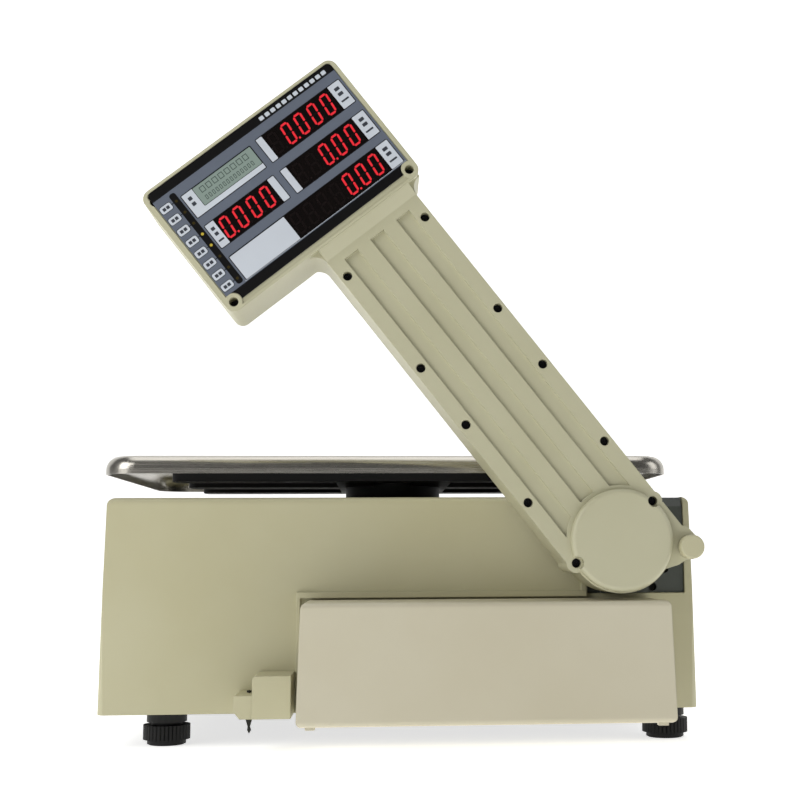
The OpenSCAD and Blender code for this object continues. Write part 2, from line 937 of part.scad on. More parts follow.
module mast_rear_shell() {
  inner = mast_rear - shell_t;
  color([0.70, 0.69, 0.57])
    difference() {
      union() {
        mast_plate(mast_mid, mast_rear)
          mast_outline();
        mast_plate(mast_rear - 1, head_rear)
          head_outline(0);
        shoulder(head_rear, mast_rear);
      }
      difference() {
        union() {
          mast_plate(mast_mid - 1, inner)
            strip_outline(shell_t);
          mast_plate(mast_mid - 1, head_rear - shell_t)
            head_outline(shell_t);
        }
        mast_plate(mast_mid - 2, head_rear)
          union() {
            all_screw_places()
              circle(r = boss_r);
            circle(r = pocket_r - 4);
          }
      }
      mast_plate(head_rear - overlay_t, head_rear + 1)
        overlay_outline(0);
      mast_plate(head_rear - shell_t - 1, head_rear + 1)
        square_window();
      mast_plate(mast_mid - 5, mast_rear + 5)
        circle(r = bush_r + run_gap);
      mast_plate(mast_mid - 5, mast_rear - 6)
        all_screw_places()
          circle(r = pilot_r);
      mast_plate(mast_mid - 1, mast_rear + 1)
        translate([knob_v, knob_u])
          circle(r = lock_pin_r + run_gap);
      mast_plate(mast_mid - 1, mast_mid + 2)
        translate([knob_v, knob_u])
          circle(r = spring_bore_r);
    }
}

module mast_bush() {
  color([0.72, 0.60, 0.35])
    difference() {
      rod_y(hub_x, hub_z, mast_face + pocket_deep + 0.2, mast_rear - 0.2, bush_r);
      rod_y(hub_x, hub_z, mast_face, mast_rear + 2, shaft_r + run_gap);
    }
}

module hub_cap() {
  r = cap_d / 2;
  edge = 3;
  color([0.72, 0.71, 0.58])
    difference() {
      union() {
        translate([hub_x, mast_face, hub_z])
          rotate([90, 0, 0])
            rotate_extrude()
              union() {
                square([r, edge]);
                square([r - edge, 2 * edge]);
                intersection() {
                  translate([r - edge, edge])
                    circle(r = edge);
                  translate([0, edge])
                    square([r, edge]);
                }
              }
        rod_y(hub_x, hub_z, mast_face - 1, mast_face + 3, pocket_r - seat_gap);
      }
      rod_y(hub_x, hub_z, mast_face - 3, mast_face + 4, pocket_r - 3);
      mast_plate(mast_face - 12, mast_face + 1)
        for (s = [-1, 1])
          translate([s * screw_v, screw_us[4]])
            circle(r = screw_hole_r + 1.1);
    }
}

module mast_screws() {
  head_y = mast_face + screw_deep - 2.2;
  color([0.12, 0.12, 0.12])
    union() {
      mast_plate(head_y, mast_face + screw_deep)
        all_screw_places()
          circle(r = screw_hole_r - seat_gap);
      mast_plate(mast_face + screw_deep - 1, mast_rear - 7)
        all_screw_places()
          circle(r = pilot_r - 0.05);
    }
}

cable_w = 12;

module mast_cable() {
  y0 = mast_mid - 1.2;
  color([0.45, 0.46, 0.48])
    mast_plate(y0, y0 + 2.4)
      translate([-cable_w / 2, pocket_r + 5])
        square([cable_w, head_low + 38 - pocket_r]);
}

lock_travel = 3.5;
spring_in = 6;
spring_bore_r = 5.5;
wire_r = 0.6;
lock_tip = bracket_face - 0.7;

module lock_knob() {
  knob_l = 10.4;
  color([0.72, 0.70, 0.58])
    union() {
      mast_plate(mast_face - knob_l, mast_face - 0.3)
        translate([knob_v, knob_u])
          circle(r = knob_d / 2);
      mast_plate(mast_face - 1, mast_mid - 1)
        translate([knob_v, knob_u])
          circle(r = 3);
      mast_plate(mast_mid - 2, lock_tip)
        translate([knob_v, knob_u])
          circle(r = lock_pin_r);
      mast_plate(mast_mid - 2.2, mast_mid - 0.6)
        translate([knob_v, knob_u])
          circle(r = 5.1);
    }
}

// The coils stand at their compressed length, clear of the collar at full travel
module lock_spring() {
  turns = 4;
  first = mast_face + spring_in + wire_r + 0.1;
  last = mast_mid - 2.2 - lock_travel - wire_r - 0.3;
  color([0.60, 0.61, 0.62])
    for (i = [0 : turns - 1])
      translate([hub_x, first + i * (last - first) / (turns - 1), hub_z])
        rotate([0, -mast_lean, 0])
          translate([knob_v, 0, knob_u])
            rotate([90, 0, 0])
              rotate_extrude()
                translate([4.3, 0])
                  circle(r = wire_r);
}

module customer_overlay() {
  color([0.10, 0.10, 0.11])
    mast_plate(head_face, head_face + overlay_t)
      overlay_outline(0.15);
}

module operator_overlay() {
  color([0.10, 0.10, 0.11])
    mast_plate(head_rear - overlay_t, head_rear)
      overlay_outline(0.15);
}

board_gap = 9;

module display_board(y) {
  color([0.10, 0.35, 0.20])
    mast_plate(y, y + 1.6)
      difference() {
        head_outline(shell_t + 1);
        for (v = head_screw_vs)
          for (u = [head_screw_u, head_top - 8])
            translate([v, u])
              circle(r = boss_r + 0.6);
        translate([-mast_half + boss_r, head_low])
          square([mast_w - 2 * boss_r, 9]);
      }
}

module customer_board() {
  display_board(head_face + overlay_t + board_gap);
}

module operator_board() {
  display_board(head_rear - overlay_t - board_gap - 1.6);
}

// Digit windows of the head: one wide row at the bottom, one narrower in each row above,
// and one more at the left of the middle row
digit_h = 17;
row_us = [overlay_low + 19, overlay_low + 43.3, overlay_low + 67.7];
digit_right = overlay_right - 11.2;
digit_widths = [72, 51.6, 51.6];
tare_left = overlay_left + 23.1;
tare_w = 41.5;

// A window drawn from its left edge, or turned over for the operator's side
module head_window(left, low, w, h, mirrored) {
  translate([mirrored ? overlay_left + overlay_right - left - w : left, low])
    square([w, h]);
}

module digit_blocks(mirrored) {
  for (i = [0 : 2])
    head_window(digit_right - digit_widths[i], row_us[i] - digit_h / 2, digit_widths[i], digit_h, mirrored);
  head_window(tare_left, row_us[1] - digit_h / 2, tare_w, digit_h, mirrored);
}

module customer_digits() {
  y = head_face + overlay_t + 0.3;
  color([0.5, 0.03, 0.04])
    mast_plate(y, y + board_gap - 0.3)
      digit_blocks(false);
}

module operator_digits() {
  y = head_rear - overlay_t - 0.3;
  color([0.5, 0.03, 0.04])
    mast_plate(y - board_gap + 0.3, y)
      digit_blocks(true);
}

module lcd_block(mirrored) {
  head_window(overlay_left + 24.8, row_us[2] - 5.2, 44.4, 13.2, mirrored);
}

module customer_lcd() {
  y = head_face + overlay_t + 0.3;
  color([0.50, 0.56, 0.52])
    mast_plate(y, y + board_gap - 0.3)
      lcd_block(false);
}

module operator_lcd() {
  y = head_rear - overlay_t - 0.3;
  color([0.50, 0.56, 0.52])
    mast_plate(y - board_gap + 0.3, y)
      lcd_block(true);
}

plate_x1 = platen_x + 53;

module printer_frame() {
  x0 = box_x + 13.7;
  color([0.50, 0.51, 0.51])
    difference() {
      union() {
        wall_plate(frame_face, frame_back)
          rounded_box_2d(box_x + 8, box_z + 5.2, box_right - 14, box_top - 5, 3);
        block(x0, frame_front - 1.5, box_z + 5.2, box_right - 14, frame_back - 1, box_z + 6.8);
        wall_plate(frame_front - 1.5, frame_front)
          rounded_box_2d(x0, box_z + 5.2, plate_x1, box_z + 61, 3);
        rod_y(roll_x, roll_z, web_y0 + 1, frame_back - 1, spindle_r);
        rod_y(rewind_x, rewind_z, web_y0 + 1, frame_back - 1, spindle_r);
        // Peel bar and the guide under it
        block(platen_x - 12.4, frame_front - 1, platen_z + 5.4, platen_x - 9.4, frame_back - 1, platen_z + 7.6);
        rod_y(platen_x - 8, platen_z - 14.5, frame_front - 1, frame_back - 1, 2);
        // Ears of the cover hinge
        for (z = ear_zs)
          difference() {
            union() {
              block(pin_x - 10, pin_y - ear_r, z, pin_x, pin_y + ear_r, z + ear_h);
              block(pin_x - 12, pin_y - ear_r, z, pin_x - 6, frame_back, z + ear_h);
              translate([pin_x, pin_y, z])
                cylinder(r = ear_r, h = ear_h);
            }
          }
      }
      for (z = ear_zs)
        translate([pin_x, pin_y, z - 1])
          cylinder(r = pin_r + 0.02, h = ear_h + 2);
      // Bearings of the platen, the lever pin and the motor shaft
      rod_y(platen_x, platen_z, frame_front - 5, frame_back + 5, 3 + run_gap);
      rod_y(lever_x, lever_z, frame_front - 5, frame_back + 5, head_pin_r + run_gap);
      rod_y(pinion_x, platen_z, frame_face - 5, frame_back + 5, 4.5);
    }
}

module gear_2d(teeth, root_r, tip_r, root_w, tip_w) {
  circle(r = root_r);
  for (i = [0 : teeth - 1])
    rotate([0, 0, i * 360 / teeth])
      polygon([[0, -root_w / 2], [root_r, -root_w / 2], [tip_r, -tip_w / 2],
               [tip_r, tip_w / 2], [root_r, root_w / 2], [0, root_w / 2]]);
}

platen_teeth = 20;
pinion_teeth = 10;

module platen_roller() {
  color([0.09, 0.09, 0.09])
    rod_y(platen_x, platen_z, web_y0 - 0.8, gear_face - 1, platen_r);
  color([0.70, 0.71, 0.72])
    rod_y(platen_x, platen_z, frame_front - 1.2, frame_face + 1.4, 3);
}

module platen_gear() {
  color([0.85, 0.85, 0.80])
    translate([platen_x, gear_face + gear_t, platen_z])
      rotate([90, 0, 0])
        linear_extrude(gear_t)
          difference() {
            gear_2d(platen_teeth, 8.8, 10.7, 1.7, 0.8);
            circle(r = 3 + 0.02);
          }
}

module print_motor() {
  color([0.30, 0.31, 0.32])
    difference() {
      union() {
        rod_y(pinion_x, platen_z, wall + 5, wall + 29, motor_r);
        block(pinion_x - 22, wall + 5, platen_z - 6, pinion_x + 22, wall + 6.5, platen_z + 6);
      }
      rod_y(pinion_x, platen_z, wall, wall + 26, 2.5 + run_gap);
    }
}

module motor_pinion() {
  color([0.72, 0.60, 0.35])
    union() {
      translate([pinion_x, gear_face + gear_t, platen_z])
        rotate([90, 0, 0])
          rotate([0, 0, 180 / pinion_teeth])
            linear_extrude(gear_t)
              gear_2d(pinion_teeth, 3.9, 5.75, 1.5, 0.8);
      rod_y(pinion_x, platen_z, gear_face + 1, wall + 25, 2.5);
    }
}

module print_head() {
  low = platen_z + platen_r + 0.8;
  color([0.30, 0.31, 0.33])
    difference() {
      union() {
        block(platen_x - 8, web_y0 - 0.4, low, platen_x + 8, gear_face - 1.2, low + 9.5);
        block(platen_x - 8, web_y0 - 0.4, low + 8.5, lever_x, gear_face - 1.2, low + 11.7);
        rod_y(lever_x, lever_z, web_y0 - 0.4, gear_face - 1.2, 4.2);
        // Finger tab at the front
        block(platen_x - 4, web_y0 - 0.4, low + 10, platen_x + 10, web_y0 + 3, low + 15);
      }
      for (i = [0 : 4])
        block(platen_x - 6.4 + i * 2.8, web_y0 + 6, low + 9.6, platen_x - 5 + i * 2.8, gear_face - 6, low + 14);
      rod_y(lever_x, lever_z, web_y0 - 5, gear_face + 5, head_pin_r + 0.02);
    }
}

module head_pin() {
  color([0.76, 0.77, 0.78])
    rod_y(lever_x, lever_z, frame_front - 1.2, frame_face + 1.4, head_pin_r);
}

module label_roll() {
  color([0.93, 0.93, 0.90])
    difference() {
      rod_y(roll_x, roll_z, web_a, web_a + label_w, roll_d / 2);
      rod_y(roll_x, roll_z, web_y0 - 5, wall, 12.5);
    }
}

module roll_hub() {
  color([0.30, 0.31, 0.33])
    difference() {
      union() {
        rod_y(roll_x, roll_z, web_a, web_a + label_w, 12.5);
        rod_y(roll_x, roll_z, web_a + 0.2 + label_w, web_a + 1.6 + label_w, 24);
        rod_y(roll_x, roll_z, web_a - 0.4 + label_w, web_a + 1 + label_w, 12);
      }
      rod_y(roll_x, roll_z, web_y0 - 5, wall, spindle_r + run_gap);
      for (a = [0 : 60 : 300])
        rod_y(roll_x + 8.2 * cos(a), roll_z + 8.2 * sin(a), web_y0 - 5, web_y0 + label_w, 2.6);
    }
}

module rewind_spool() {
  color([0.86, 0.84, 0.76])
    difference() {
      union() {
        rod_y(rewind_x, rewind_z, web_a, web_a + label_w, rewind_r);
        rod_y(rewind_x, rewind_z, web_a + label_w, web_a + 1.6 + label_w, rewind_r + 3);
      }
      rod_y(rewind_x, rewind_z, web_y0 - 5, wall, spindle_r + run_gap);
      for (a = [0 : 60 : 300])
        rod_y(rewind_x + 8.6 * cos(a), rewind_z + 8.6 * sin(a), web_y0 - 5, web_y0 + label_w, 2.6);
    }
}

module strip_run(p, q, t) {
  d = q - p;
  translate([p[0], web_a + label_w, p[1]])
    rotate([90, 0, 0])
      rotate([0, 0, atan2(d[1], d[0])])
        linear_extrude(label_w)
          translate([-t / 2, -t / 2])
            square([norm(d) + t, t]);
}

module label_web() {
  over_platen = platen_z + platen_r + 0.4;
  nose = platen_x - 12.9;
  path = [
    [roll_x - 3, roll_z + roll_d / 2 + 0.4], [platen_x + 8.5, over_platen], [nose, over_platen],
    [nose, platen_z + 5], [platen_x - 10.6, platen_z - 15.5], [platen_x - 8.5, platen_z - 17.2],
    [rewind_x, rewind_z - rewind_r - 0.4]
  ];
  color([0.94, 0.94, 0.91])
    for (i = [0 : len(path) - 2])
      strip_run(path[i], path[i + 1], 0.25);
}

module label_sensor() {
  x = platen_x + 22;
  color([0.08, 0.08, 0.08])
    union() {
      block(x, web_y0 + 16, platen_z + 1, x + 8, frame_face, platen_z + 7);
      block(x, web_y0 + 20, platen_z + 6, x + 6, web_y0 + 26, platen_z + 9.2);
    }
}

module cover_solid(t) {
  low = box_z + t;
  high = box_top - t;
  edge = 3.5;
  over = (high - box_z - edge) * box_k;
  under = (t - edge) * box_k;
  r = max(edge - t, 1);
  intersection() {
    wall_plate(front - 1, box_back + (t > 0 ? 5 : 0))
      rounded_outline(
        [
          [box_right - t - under, low], [box_right - t - over, high],
          [box_x + t + over, high], [box_x + t + under, low]
        ],
        [r, r, r, r]
      );
    side_plate(box_x - 5, box_right + 5)
      rounded_outline(
        [
          [box_back + 8, low], [box_back + 8, high],
          [front + t + over, high], [front + t + under, low]
        ],
        [0, 0, r, r]
      );
  }
}

module printer_cover() {
  color([0.74, 0.71, 0.64])
    difference() {
      union() {
        difference() {
          cover_solid(0);
          cover_solid(cover_t);
        }
        // Hinge knuckles inside the top and bottom walls
        for (z = [box_z + 1, box_top - 14])
          intersection() {
            translate([pin_x, pin_y, z])
              cylinder(r = knuckle_r - 1.2, h = 13);
            cover_solid(0);
          }
        block(box_right - 11, front + 2.4, box_z - 1.6, box_right - 5, front + 8.4, box_z + 1);
      }
      // The edge at the hinge is rounded about the pin so that it turns clear of the wall
      difference() {
        block(pin_x, pin_y, box_z - 5, box_right + 5, box_back + 5, box_top + 5);
        translate([pin_x, pin_y, box_z - 6])
          cylinder(r = knuckle_r, h = box_h + 12);
      }
      translate([pin_x, pin_y, box_z + 2])
        cylinder(r = pin_r + run_gap, h = box_h);
      // Slots that let the hinge ears pass as the cover swings
      for (z = ear_zs)
        block(pin_x + 1, pin_y + 1, z - 0.6, box_right + 5, box_back + 5, z + ear_h + 0.6);
      // Label outlet in the left wall
      block(box_x - 5, web_y0 - 1, platen_z + 3.5, box_x + 8, web_y0 + 7 + label_w, platen_z + 11.5);
      // Slot of the press tab
      block(box_x + 4.9, front + 3.9, box_z - 5, box_x + 11.5, front + 10.5, box_z + cover_t + 0.5);
      // Score line under the lid edge
      block(box_x + 20, front - 1, box_z - 1, box_x + 20.8, front + 0.4, box_z + 3);
    }
}

module cover_hinge_pin() {
  color([0.70, 0.71, 0.72])
    translate([pin_x, pin_y, box_z + 3])
      cylinder(r = pin_r, h = box_h - 7);
}

module latch_button() {
  x0 = box_x + 5.2;
  y0 = front + 4.2;
  color([0.72, 0.70, 0.62])
    union() {
      block(x0, y0, box_z - 1.8, x0 + 6, y0 + 6, box_z + 6);
      block(x0 - 1.2, y0 - 0.4, box_z + cover_t + 0.3, x0 + 7, y0 + 7.4, box_z + cover_t + 1.8);
    }
}

module calibration_hood() {
  main_h = 26;
  ledge_h = 14.3;
  t = 2;
  y0 = wall - hood_d;
  x1 = hood_x + hood_w;
  color([0.70, 0.68, 0.56])
    difference() {
      union() {
        wall_plate(y0, wall)
          rounded_outline(
            [[hood_x + ledge_w, hood_z], [x1, hood_z], [x1, hood_z + main_h], [hood_x + ledge_w, hood_z + main_h]],
            [0, 0, 0, 2.5]
          );
        wall_plate(y0 + 1, wall)
          rounded_outline(
            [[hood_x + 4, hood_z], [hood_x + 15, hood_z], [hood_x + 15, hood_z + ledge_h],
             [hood_x, hood_z + ledge_h], [hood_x, hood_z + 5]],
            [0, 0, 0, 1.5, 1]
          );
      }
      block(hood_x + ledge_w + t, y0 + t, hood_z - 1, x1 - t, wall + 1, hood_z + main_h - t);
      block(hood_x + 6, y0 + 4, hood_z - 1, hood_x + ledge_w + t + 1, wall + 1, hood_z + ledge_h - t);
      block(hood_x + 17, y0 + 9, hood_z + main_h - 4, hood_x + 29, y0 + 10, hood_z + main_h + 2);
      translate([seal_x, seal_y, hood_z])
        cylinder(r = 0.9, h = 30);
    }
}

seal_x = hood_x + 8.2;
seal_y = wall - 18;

module seal_wire() {
  z = hood_z;
  color([0.10, 0.11, 0.10])
    union() {
      translate([seal_x, seal_y, z - 1])
        cylinder(r = 0.55, h = 17);
      translate([seal_x, seal_y, z + 14.6])
        cylinder(r = 1.5, h = 1.2);
      wall_plate(seal_y - 0.5, seal_y + 0.5)
        union() {
          polygon([
            [seal_x - 2.4, z - 0.6], [seal_x + 2.4, z - 0.6],
            [seal_x + 0.7, z - 6.4], [seal_x - 0.7, z - 6.4]
          ]);
          polygon([
            [seal_x - 0.7, z - 6.2], [seal_x + 0.7, z - 6.2], [seal_x + 1.5, z - 8.4],
            [seal_x + 0.2, z - 10.6], [seal_x - 1, z - 8.4]
          ]);
        }
    }
}

case_shell();
base_plate();
foot_front_left();
foot_front_right();
foot_back_left();
foot_back_right();
keypad_bezel();
keypad_membrane();
keypad_board();
main_board();
power_supply();
power_inlet();
power_switch();
data_ports();
load_cell();
load_cell_foot();
load_cell_head();
level_vial();
platter();
platter_spider();
spider_pads();
hinge_bracket();
hinge_blocks();
hinge_shaft();
friction_washer();
mast_front_shell();
mast_rear_shell();
mast_bush();
hub_cap();
mast_screws();
mast_cable();
lock_knob();
lock_spring();
customer_overlay();
customer_board();
customer_digits();
customer_lcd();
operator_overlay();
operator_board();
operator_digits();
operator_lcd();
printer_frame();
platen_roller();
platen_gear();
print_motor();
motor_pinion();
print_head();
head_pin();
label_roll();
roll_hub();
rewind_spool();
label_web();
label_sensor();
printer_cover();
cover_hinge_pin();
latch_button();
calibration_hood();
seal_wire();
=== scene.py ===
import json
import math

import bmesh
import bpy
from mathutils import Matrix, Vector


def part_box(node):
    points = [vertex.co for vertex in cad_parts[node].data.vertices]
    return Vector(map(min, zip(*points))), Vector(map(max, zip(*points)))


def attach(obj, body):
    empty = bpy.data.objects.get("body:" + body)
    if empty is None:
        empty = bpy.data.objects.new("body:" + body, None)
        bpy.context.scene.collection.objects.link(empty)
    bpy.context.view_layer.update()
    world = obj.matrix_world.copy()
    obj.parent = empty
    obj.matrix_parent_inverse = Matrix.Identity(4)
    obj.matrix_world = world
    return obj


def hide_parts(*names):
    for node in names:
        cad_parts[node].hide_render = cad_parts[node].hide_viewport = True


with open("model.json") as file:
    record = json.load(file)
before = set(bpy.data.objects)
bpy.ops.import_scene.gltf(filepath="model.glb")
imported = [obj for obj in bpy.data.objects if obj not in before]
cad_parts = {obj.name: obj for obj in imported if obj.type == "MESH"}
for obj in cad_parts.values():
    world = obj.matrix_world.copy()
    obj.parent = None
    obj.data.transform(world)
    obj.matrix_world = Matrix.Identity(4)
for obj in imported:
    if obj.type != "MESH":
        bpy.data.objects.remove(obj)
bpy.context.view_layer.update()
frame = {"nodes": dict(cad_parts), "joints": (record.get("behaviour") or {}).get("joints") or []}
nodes = frame["nodes"]
joints = {joint["name"]: joint for joint in frame["joints"]}
scene = bpy.context.scene
MM = 0.001

# --- Camera --------------------------------------------------------------------------------
# A long lens stands about a metre in front of the customer side, a little to the left and at
# half the height of the scale, and looks slightly up and to the right.
camera_place = Vector((-13.98, -1069.63, 119.13)) * MM
camera_turn = math.radians(4.4216)
camera_rise = math.radians(6.5018)
camera_roll = math.radians(-0.3183)
view_dir = Vector((
    math.sin(camera_turn) * math.cos(camera_rise),
    math.cos(camera_turn) * math.cos(camera_rise),
    math.sin(camera_rise),
))
view_right = Vector((math.cos(camera_turn), -math.sin(camera_turn), 0))
view_up = view_right.cross(view_dir)
rolled_right = math.cos(camera_roll) * view_right + math.sin(camera_roll) * view_up
rolled_up = math.cos(camera_roll) * view_up - math.sin(camera_roll) * view_right
camera_data = bpy.data.cameras.new("camera")
camera_data.lens = 62.1
camera_data.sensor_width = 36
camera_data.shift_x = -0.1088
camera_data.clip_start = 0.05
camera_data.clip_end = 50
camera = bpy.data.objects.new("camera", camera_data)
camera.matrix_world = Matrix.Translation(camera_place) @ Matrix((
    rolled_right, rolled_up, -view_dir,
)).transposed().to_4x4()
scene.collection.objects.link(camera)
scene.camera = camera
scene.view_settings.view_transform = "Standard"


def linear(code):
    """Linear colour with alpha from an sRGB hex code."""
    parts = [int(code[i:i + 2], 16) / 255 for i in (1, 3, 5)]
    return tuple(p / 12.92 if p <= 0.04045 else ((p + 0.055) / 1.055) ** 2.4 for p in parts) + (1,)


def new_node(tree, kind, settings=None, links=None):
    """Adds a node: settings name its properties or inputs, links name what feeds an input."""
    node = tree.nodes.new(kind)
    for key, value in (settings or {}).items():
        if isinstance(key, str) and hasattr(node, key):
            setattr(node, key, value)
        else:
            node.inputs[key].default_value = value
    for key, source in (links or {}).items():
        tree.links.new(source, node.inputs[key])
    return node


def add(tree, kind, settings=None, links=None):
    """Adds a shader node."""
    return new_node(tree, "ShaderNode" + kind, settings, links)


def new_material(name):
    """A material with its node tree and its main shader."""
    material = bpy.data.materials.new(name)
    material.use_nodes = True
    return material, material.node_tree, material.node_tree.nodes["Principled BSDF"]


# --- Studio --------------------------------------------------------------------------------
# A white paper sweep runs under the scale and up behind it, between two large soft boxes.
def paper_sweep():
    """White matte paper that glows a little, so that it stays even behind the scale."""
    half_width, front_edge, bend_start, bend_radius, height = 6, -3, 1.6, 1.2, 4
    profile = [(front_edge, 0), (bend_start, 0)]
    bend_steps = 16
    for step in range(1, bend_steps + 1):
        angle = math.pi / 2 * step / bend_steps
        profile.append((bend_start + bend_radius * math.sin(angle), bend_radius * (1 - math.cos(angle))))
    profile.append((bend_start + bend_radius, height))
    mesh = bpy.data.meshes.new("paper_sweep")
    points = [(x, y, z) for y, z in profile for x in (-half_width, half_width)]
    faces = [(2 * i, 2 * i + 1, 2 * i + 3, 2 * i + 2) for i in range(len(profile) - 1)]
    mesh.from_pydata(points, [], faces)
    for face in mesh.polygons:
        face.use_smooth = True
    sweep = bpy.data.objects.new("paper_sweep", mesh)
    scene.collection.objects.link(sweep)
    paper, _, shader = new_material("background paper, white matte")
    shader.inputs["Base Color"].default_value = linear("#F4F4F2")
    shader.inputs["Roughness"].default_value = 0.9
    shader.inputs["Specular IOR Level"].default_value = 0.1
    shader.inputs["Emission Color"].default_value = linear("#FFFFFF")
    shader.inputs["Emission Strength"].default_value = 0.7
    mesh.materials.append(paper)


def soft_box(name, place, target, width, height, power, tint):
    """A rectangular light that faces its target."""
    light = bpy.data.lights.new(name, "AREA")
    light.shape = "RECTANGLE"
    light.size = width
    light.size_y = height
    light.energy = power
    light.color = linear(tint)[:3]
    lamp = bpy.data.objects.new(name, light)
    lamp.location = place
    lamp.rotation_mode = "QUATERNION"
    lamp.rotation_quaternion = (Vector(target) - Vector(place)).to_track_quat("-Z", "Y")
    scene.collection.objects.link(lamp)


paper_sweep()
soft_box("left_soft_box", (-0.92, -0.8, 0.7), (-0.1, -0.2, 0.25), 0.7, 0.9, 7.3, "#FFFFFF")
soft_box("right_soft_box", (1.7, -0.5, 0.9), (0.1, -0.1, 0.2), 0.9, 1.3, 6, "#FFFFFF")
soft_box("overhead_soft_box", (0.0, 0.2, 2.0), (0, 0, 0.2), 1.6, 1.6, 14, "#FFFFFF")
world = bpy.data.worlds.new("studio")
scene.world = world
world.use_nodes = True
world.node_tree.nodes["Background"].inputs["Color"].default_value = linear("#FFFFFF")
world.node_tree.nodes["Background"].inputs["Strength"].default_value = 0.12


# --- Moulded housings ----------------------------------------------------------------------
# The body, the mast shells, the hub cap, the hood, the knob and the printer cover are injection
# moulded in cream ABS with a fine spark-eroded grain, and the printer cover is a paler batch.
# The large mouldings get their rounded edges in the shading, the knob and the press tab in the mesh.
def object_space(tree):
    return add(tree, "TexCoord").outputs["Object"]


def moulded_plastic(name, colour, aged, rough=0.42, grain_mm=0.7, grain_depth=0.05, edge_mm=1.0):
    """Moulded plastic: a satin skin with fine grain, shaded round edges and a faint drift of tone."""
    material, tree, shader = new_material(name)
    place = object_space(tree)
    drift = add(tree, "TexNoise", {"Scale": 1 / (90 * MM), "Detail": 3, "Roughness": 0.55}, {"Vector": place})
    tone = add(tree, "MapRange", {"From Min": 0.3, "From Max": 0.7}, {"Value": drift.outputs["Fac"]})
    colours = add(tree, "Mix", {"data_type": "RGBA", 6: linear(colour), 7: linear(aged)},
                  {"Factor": tone.outputs["Result"]})
    grain = add(tree, "TexNoise", {"Scale": 1 / (grain_mm * MM), "Detail": 4, "Roughness": 0.6},
                {"Vector": place})
    sheen = add(tree, "MapRange", {"From Min": 0.2, "From Max": 0.8, "To Min": rough - 0.06,
                                   "To Max": rough + 0.08}, {"Value": grain.outputs["Fac"]})
    eased = add(tree, "Bevel", {"samples": 4, "Radius": edge_mm * MM})
    bump = add(tree, "Bump", {"Strength": 0.35, "Distance": grain_depth * MM},
               {"Height": grain.outputs["Fac"], "Normal": eased.outputs["Normal"]})
    tree.links.new(colours.outputs[2], shader.inputs["Base Color"])
    tree.links.new(sheen.outputs["Result"], shader.inputs["Roughness"])
    tree.links.new(bump.outputs["Normal"], shader.inputs["Normal"])
    shader.inputs["IOR"].default_value = 1.53
    return material


cream_abs = moulded_plastic("ABS, moulded, cream with spark-eroded grain", "#BFBB9C", "#B9B492")
mast_abs = moulded_plastic("ABS, moulded, cream mast shells", "#BDBA9E", "#B8B597", edge_mm=0.7)
pale_abs = moulded_plastic("ABS, moulded, pale cream cover", "#CAC4AE", "#C5BEA6", rough=0.38)


def finish(name, material):
    """Gives a carried-over node its material in every slot."""
    mesh = nodes[name].data
    mesh.materials.clear()
    mesh.materials.append(material)


def merged_copy(name):
    """The node's mesh as one closed skin."""
    skin = bmesh.new()
    skin.from_mesh(nodes[name].data)
    bmesh.ops.remove_doubles(skin, verts=skin.verts, dist=0.002 * MM)
    return skin


def sharp_edges(skin, least=35):
    return [edge for edge in skin.edges
            if len(edge.link_faces) == 2 and edge.calc_face_angle(0) > math.radians(least)
            and edge.is_convex]


def round_over(skin, edges, radius, steps):
    bmesh.ops.bevel(skin, geom=edges, offset=radius * MM, offset_type="OFFSET", segments=steps,
                    profile=0.5, affect="EDGES", clamp_overlap=False, loop_slide=True)


def soft_normals(skin, smooth_under):
    """A normal for every corner: neighbouring faces within the angle, weighed by their areas."""
    least = math.cos(math.radians(smooth_under))
    wide_area, nearly_level = 60 * MM * MM, 0.9976
    weights = {face: face.calc_area() for face in skin.faces}
    wide = [face for face in skin.faces if weights[face] > wide_area]
    level = {}
    for face in wide:
        alike = [f.normal * weights[f] for f in wide if f.normal.dot(face.normal) > nearly_level]
        level[face] = sum(alike, Vector()).normalized()
    normals = []
    for face in skin.faces:
        for corner in face.loops:
            near = [f for f in corner.vert.link_faces if f.normal.dot(face.normal) > least]
            normals.append(sum((level.get(f, f.normal) * weights[f] for f in near), Vector()).normalized())
    return normals


def make_piece(name, skin, material, body, smooth_under=50):
    """Turns a bmesh into a piece that rides on a body, flat on its faces and smooth on its bends."""
    mesh = bpy.data.meshes.new(name)
    skin.normal_update()
    normals = soft_normals(skin, smooth_under)
    skin.to_mesh(mesh)
    skin.free()
    mesh.materials.clear()
    mesh.materials.append(material)
    for face in mesh.polygons:
        face.use_smooth = True
        face.material_index = 0
    mesh.normals_split_custom_set(normals)
    piece = bpy.data.objects.new(name, mesh)
    scene.collection.objects.link(piece)
    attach(piece, body)
    return piece


def softened(name, material, body, radius, steps):
    """A moulding as it leaves the tool: the node's own shape with every outer edge eased."""
    skin = merged_copy(name)
    round_over(skin, sharp_edges(skin), radius, steps)
    piece = make_piece(name + "_moulding", skin, material, body)
    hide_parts(name)
    return piece


finish("case_shell", cream_abs)
finish("calibration_hood", cream_abs)
finish("printer_cover", pale_abs)
tab = softened("latch_button", pale_abs, "latch", radius=0.5, steps=3)
knob = softened("lock_knob", cream_abs, "lock", radius=0.9, steps=4)

# --- Mast shells ---------------------------------------------------------------------------
# Two deep mouldings that meet at the middle of the mast's thickness. The mast leans about the
# hub, so places on it are given across it and along it from the hub.
hub = Vector(joints["mast_swing"]["pos_m"])
lean = -math.radians(joints["mast_swing"]["range_deg"][0])


def mast_point(across, along, y):
    """A point of the mast, from millimetres across it and along it from the hub, and y in metres."""
    return Vector((
        hub.x + (across * math.cos(lean) - along * math.sin(lean)) * MM,
        y,
        hub.z + (across * math.sin(lean) + along * math.cos(lean)) * MM,
    ))


